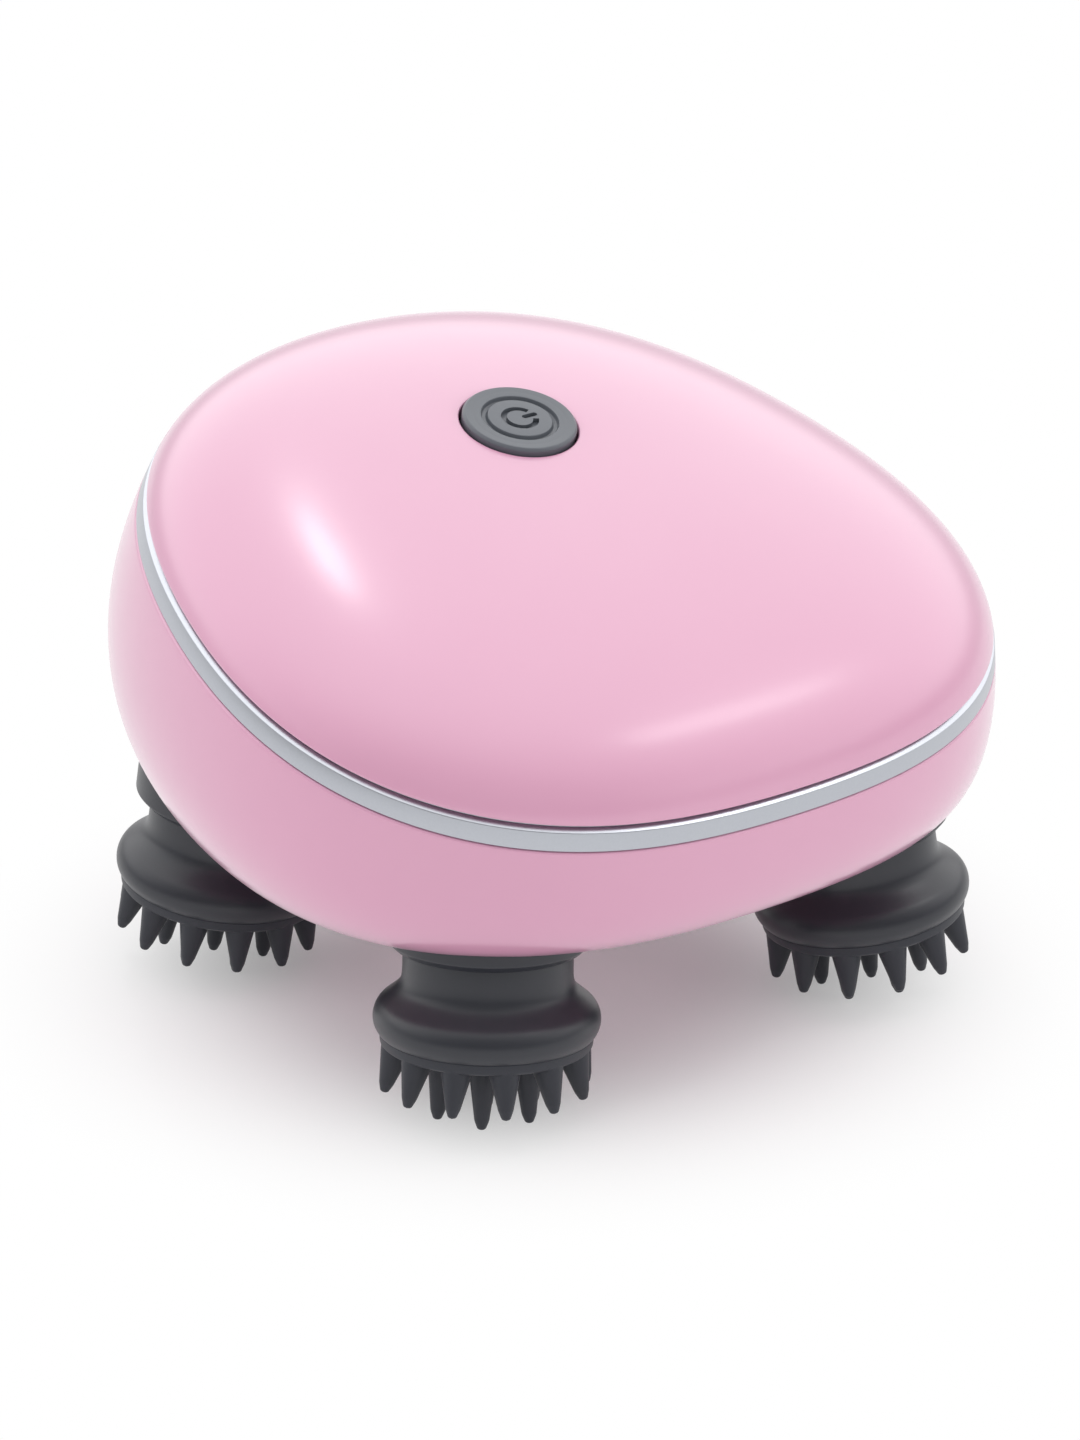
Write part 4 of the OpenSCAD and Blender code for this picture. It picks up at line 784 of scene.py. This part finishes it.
def moulded(name, light, dark, roughness, grain_mm, bump_mm, ior=1.53, coat=0.0):
    """Moulded plastic: two close shades in soft patches, and a bump of the given grain."""
    made, tree, out, where = material(name)
    patches = add(tree, "TexNoise", Vector=where, Scale=1 / (patch_mm * mm), Detail=2.0)
    shade = add(tree, "Mix", {"data_type": "RGBA"}, i0=patches.outputs["Fac"],
                i6=linear(light), i7=linear(dark))
    grain = add(tree, "TexNoise", Vector=where, Scale=1 / (grain_mm * mm), Detail=3.0)
    bump = add(tree, "Bump", Height=grain.outputs["Fac"], Strength=1.0, Distance=bump_mm * mm)
    rough = add(tree, "MapRange", Value=grain.outputs["Fac"],
                To_Min=roughness * 0.9, To_Max=roughness * 1.1)
    surface = add(tree, "BsdfPrincipled", Base_Color=shade.outputs["Result"],
                  Roughness=rough.outputs["Result"], IOR=ior, Normal=bump.outputs["Normal"],
                  Coat_Weight=coat, Coat_Roughness=0.2)
    tree.links.new(surface.outputs[0], out.inputs["Surface"])
    return made


pink_abs = moulded("abs_pink_lacquered", "#DFA4C0", "#DDA1BE", 0.32, 5, 0.004, coat=1.0)
button_abs = moulded("abs_grey_satin", "#5F636A", "#5A5E65", 0.36, 0.25, 0.004)
charcoal_abs = moulded("abs_charcoal_satin", "#2E3037", "#2A2C33", 0.36, 0.3, 0.006)
silicone = moulded("silicone_charcoal", "#34363D", "#303239", 0.45, 0.35, 0.008, ior=1.42)
nitrile = moulded("nitrile_black", "#222325", "#1D1E20", 0.55, 0.3, 0.006)
acetal = moulded("acetal_white", "#E9E7DF", "#E4E1D8", 0.35, 0.5, 0.004, ior=1.48)
pink_silicone = moulded("silicone_pink", "#DCA3BE", "#D89EBA", 0.42, 0.4, 0.005, ior=1.42)
black_plastic = moulded("nylon_black", "#26272A", "#212225", 0.45, 0.3, 0.005)
board = moulded("solder_mask_green", "#2F6B46", "#2A6240", 0.3, 0.8, 0.003)
cell_sleeve = moulded("pvc_sleeve_blue", "#2F5C9E", "#2A548F", 0.3, 3, 0.01)
red_sleeve = moulded("pvc_red", "#B3262B", "#A82228", 0.4, 0.4, 0.004)
black_sleeve = moulded("pvc_black", "#1F2022", "#1A1B1D", 0.4, 0.4, 0.004)
print("plastics are ready, and the shells are", pink_abs.name)


# %% [markdown]
# ## Metals
# The ring is satin anodised aluminium: it mirrors softly, and fine blasting breaks up the
# reflection. The screws and spindles are plated steel, a little darker. The bushes are sintered
# bronze, warmer and duller.

# %% Metals
def metal(name, light, dark, roughness, grain_mm, bump_mm):
    """Metal: base colour in two close shades, and a fine grain in roughness and bump."""
    made, tree, out, where = material(name)
    grain = add(tree, "TexNoise", Vector=where, Scale=1 / (grain_mm * mm), Detail=4.0)
    shade = add(tree, "Mix", {"data_type": "RGBA"}, i0=grain.outputs["Fac"],
                i6=linear(light), i7=linear(dark))
    bump = add(tree, "Bump", Height=grain.outputs["Fac"], Strength=1.0, Distance=bump_mm * mm)
    rough = add(tree, "MapRange", Value=grain.outputs["Fac"],
                To_Min=roughness * 0.85, To_Max=roughness * 1.15)
    surface = add(tree, "BsdfPrincipled", Base_Color=shade.outputs["Result"], Metallic=1.0,
                  Roughness=rough.outputs["Result"], Normal=bump.outputs["Normal"])
    tree.links.new(surface.outputs[0], out.inputs["Surface"])
    return made


aluminium = metal("aluminium_anodised", "#C2C5CC", "#BBBEC5", 0.3, 0.3, 0.002)
steel = metal("steel_plated", "#B9BCC0", "#AFB2B7", 0.28, 0.4, 0.002)
bronze = metal("bronze_sintered", "#B48E55", "#A88248", 0.4, 0.3, 0.004)
print("metals:", aluminium.name, steel.name, bronze.name)

# %% [markdown]
# ## Dress every piece
# Each new piece takes its finish, rides on the body it belongs to and hides the CAD node it
# stands for.

# %% Finish the new pieces
def dress(obj, finish, body, slot, *replaced):
    """Gives a piece its finish and the body it rides on, and hides the CAD nodes it stands for. The slot
    is not used.
    """
    obj.data.materials.clear()
    obj.data.materials.append(finish)
    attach(obj, body)
    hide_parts(*replaced)


dress(upper_shell, pink_abs, "casing", "pink_shell", "upper_shell")
dress(lower_shell, pink_abs, "casing", "pink_shell", "lower_shell")
dress(trim, aluminium, "casing", "silver_trim", "trim_ring")
dress(button, button_abs, "button", "button_grey", "button_cap")
dress(port_cover, pink_silicone, "cover", "pink_silicone", "port_cover")
for n in range(4):
    dress(collars[n], charcoal_abs, "casing", "charcoal_plastic", f"head_collar_{n + 1}")
    dress(hubs[n], charcoal_abs, f"head_{n + 1}", "charcoal_plastic", f"head_hub_{n + 1}")
    dress(pads[n], silicone, f"head_{n + 1}", "charcoal_silicone", f"head_pad_{n + 1}")

# %% [markdown]
# The inner pieces stay as the CAD model has them. They get their finish in the slots they already
# have, chosen by the name of the node without its number.

# %% Finish the nodes that stay
finishes = {
    "case_screws": steel, "button_retainer": acetal, "switch_body": black_plastic,
    "switch_plunger": acetal, "circuit_board": board, "board_parts": black_plastic,
    "board_screws": steel, "gear_plate": acetal, "plate_screws": steel, "drive_axle": steel,
    "drive_gear": acetal, "motor_gearhead": steel, "motor_can": steel, "motor_end_cap": black_plastic,
    "motor_shaft": steel, "motor_pinion": acetal, "motor_screws": steel, "motor_leads": red_sleeve,
    "cell": cell_sleeve, "cell_cradle": black_plastic, "cell_leads": red_sleeve,
    "charge_socket": steel, "charge_leads": black_sleeve, "head_bush": bronze, "head_seal": nitrile,
    "head_spindle": steel, "head_clip": steel, "head_gear": acetal,
}
for name, node in nodes.items():
    kind = name.rstrip("1234").rstrip("_")
    if kind in finishes and not node.hide_render:
        for holder in node.material_slots:
            holder.material = finishes[kind]
print("nodes that stay:", sum(not o.hide_render for o in nodes.values()))

# %% [markdown]
# ## Floor and light
# The background is white, as in a catalogue photograph. The floor is white paper, which keeps the
# object's shadow nearby and fades to the plain white of the background further out.

# %% Floor
floor_size = 6.0
shadow_near, shadow_far, shadow_white = 0.02, 0.082, 0.12
bpy.ops.mesh.primitive_plane_add(size=floor_size, location=(0, 0, 0))
floor = bpy.context.object
floor.name = "studio_floor"
made, tree, out, where = material("paper_white")
spread = add(tree, "VectorMath", {"operation": "LENGTH"}, i0=where)
fade = add(tree, "MapRange", {"interpolation_type": "SMOOTHSTEP"}, Value=spread.outputs["Value"],
           From_Min=shadow_near, From_Max=shadow_far, To_Min=shadow_white, To_Max=1.0)
paper = add(tree, "BsdfDiffuse", Color=linear("#F7F5F6"))
white = add(tree, "Emission", Color=(1, 1, 1, 1), Strength=1.0)
seen = add(tree, "LightPath")
seen_or_mirrored = add(tree, "Math", {"operation": "MAXIMUM"}, i0=seen.outputs["Is Camera Ray"],
                       i1=seen.outputs["Is Glossy Ray"])
share = add(tree, "Math", {"operation": "MULTIPLY"}, i0=fade.outputs["Result"],
            i1=seen_or_mirrored.outputs[0])
mixed = add(tree, "MixShader", i0=share.outputs[0], i1=paper.outputs[0], i2=white.outputs[0])
tree.links.new(mixed.outputs[0], out.inputs["Surface"])
floor.data.materials.append(made)

# %% [markdown]
# What the lacquer mirrors is a studio: bright behind the object, dim on the camera's side and
# along the horizon. The light that the surroundings give is even and below white, so that the
# pale pink keeps its colour. The camera itself sees plain white.

# %% Surroundings
backwards = (-0.717, 0.554, 0.423)
front_level, back_level, blend = 0.32, 1.8, 0.6
horizon_low, horizon_high, horizon_level = 0.14, 0.27, 0.36
soft_level = 0.66
world = bpy.data.worlds.new("studio")
bpy.context.scene.world = world
world.use_nodes = True
tree = world.node_tree
tree.nodes.clear()
way = add(tree, "TexCoord").outputs["Generated"]
behind = add(tree, "VectorMath", {"operation": "DOT_PRODUCT"}, i0=way, i1=backwards)
wall_light = add(tree, "MapRange", {"interpolation_type": "SMOOTHSTEP"}, Value=behind.outputs["Value"],
                 From_Min=-blend, From_Max=blend, To_Min=front_level, To_Max=back_level)
height = add(tree, "SeparateXYZ", Vector=way)
horizon = add(tree, "MapRange", {"interpolation_type": "SMOOTHSTEP"}, Value=height.outputs["Z"],
              From_Min=horizon_low, From_Max=horizon_high, To_Min=horizon_level, To_Max=1.0)
mirrored_level = add(tree, "Math", {"operation": "MULTIPLY"}, i0=wall_light.outputs["Result"],
                     i1=horizon.outputs["Result"])
seen = add(tree, "LightPath")
either = add(tree, "Math", {"operation": "MAXIMUM"}, i0=seen.outputs["Is Camera Ray"],
             i1=seen.outputs["Is Transmission Ray"])
mirror = add(tree, "Background", Color=(1, 1, 1, 1), Strength=mirrored_level.outputs[0])
soft = add(tree, "Background", Color=(1, 1, 1, 1), Strength=soft_level)
clear = add(tree, "Background", Color=(1, 1, 1, 1), Strength=1.0)
lit = add(tree, "MixShader", i0=seen.outputs["Is Glossy Ray"], i1=soft.outputs[0], i2=mirror.outputs[0])
final = add(tree, "MixShader", i0=either.outputs[0], i1=lit.outputs[0], i2=clear.outputs[0])
output = add(tree, "OutputWorld")
tree.links.new(final.outputs[0], output.inputs["Surface"])


# %% [markdown]
# Three large soft lamps set the level, one overhead and a low one on each side. They aren't
# mirrored, because the surroundings already stand for their reflections. Two narrow strips are:
# they draw the oval highlight on the left of the dome and the long one on its right.

# %% Lamps
def lamp(name, start, end, look_at, width, watts, mirrored=True):
    """Rectangular soft light: a strip from start to end, aimed at a point."""
    start, end, look_at = Vector(start), Vector(end), Vector(look_at)
    light = bpy.data.lights.new(name, "AREA")
    light.shape = "RECTANGLE"
    light.size, light.size_y = (end - start).length, width
    light.energy = watts
    at = (start + end) / 2
    z = (at - look_at).normalized()
    x = (end - start).normalized()
    x = (x - x.dot(z) * z).normalized()
    obj = bpy.data.objects.new(name, light)
    obj.matrix_world = Matrix.Translation(at) @ Matrix((x, z.cross(x), z)).transposed().to_4x4()
    obj.visible_glossy = mirrored
    bpy.context.scene.collection.objects.link(obj)
    return obj


body_middle = (0, 0, 0.05)
lamp("overhead", (-0.55, -0.05, 0.95), (0.45, -0.05, 0.95), body_middle, 1.0, 2.8, mirrored=False)
lamp("left_panel", (-0.05, -1.07, 0.25), (-0.75, -0.72, 0.25), body_middle, 0.3, 1.5, mirrored=False)
lamp("right_panel", (0.98, 0.2, 0.25), (0.7, 0.75, 0.25), body_middle, 0.3, 1.5, mirrored=False)
lamp("left_spot", (-0.45, 0.157, 0.827), (-0.33, 0.103, 0.887), (0.008, -0.038, 0.072), 0.06, 0.36)
lamp("right_strip", (0.423, 0.294, 0.81), (0.286, 0.591, 0.70), (0.05, -0.009, 0.056), 0.09, 0.38)

# %% [markdown]
# ## Camera
# It looks at the front and one side from a little above, through a long lens. It was fitted to the
# photograph by the body's outline, the silver ring, the button and the rims of the heads.

# %% Camera
azimuth, elevation, distance = np.radians(52.32), np.radians(23.0), 735 * mm
aim_rise, aim_left = 26.78, 0.09
flat_share = np.cos(elevation)
back = Vector((np.sin(azimuth) * flat_share, -np.cos(azimuth) * flat_share, np.sin(elevation)))
right = Vector((np.cos(azimuth), np.sin(azimuth), 0))
aim = Vector((drive_x, 0, rim_z + aim_rise)) * mm - right * aim_left * mm
camera = bpy.data.objects.new("camera", bpy.data.cameras.new("camera"))
camera.data.lens = 137.15
camera.data.sensor_width = 36
camera.location = aim + back * distance
camera.rotation_euler = (-back).to_track_quat("-Z", "Y").to_euler()
bpy.context.scene.collection.objects.link(camera)
bpy.context.scene.camera = camera
bpy.context.scene.view_settings.view_transform = "Standard"
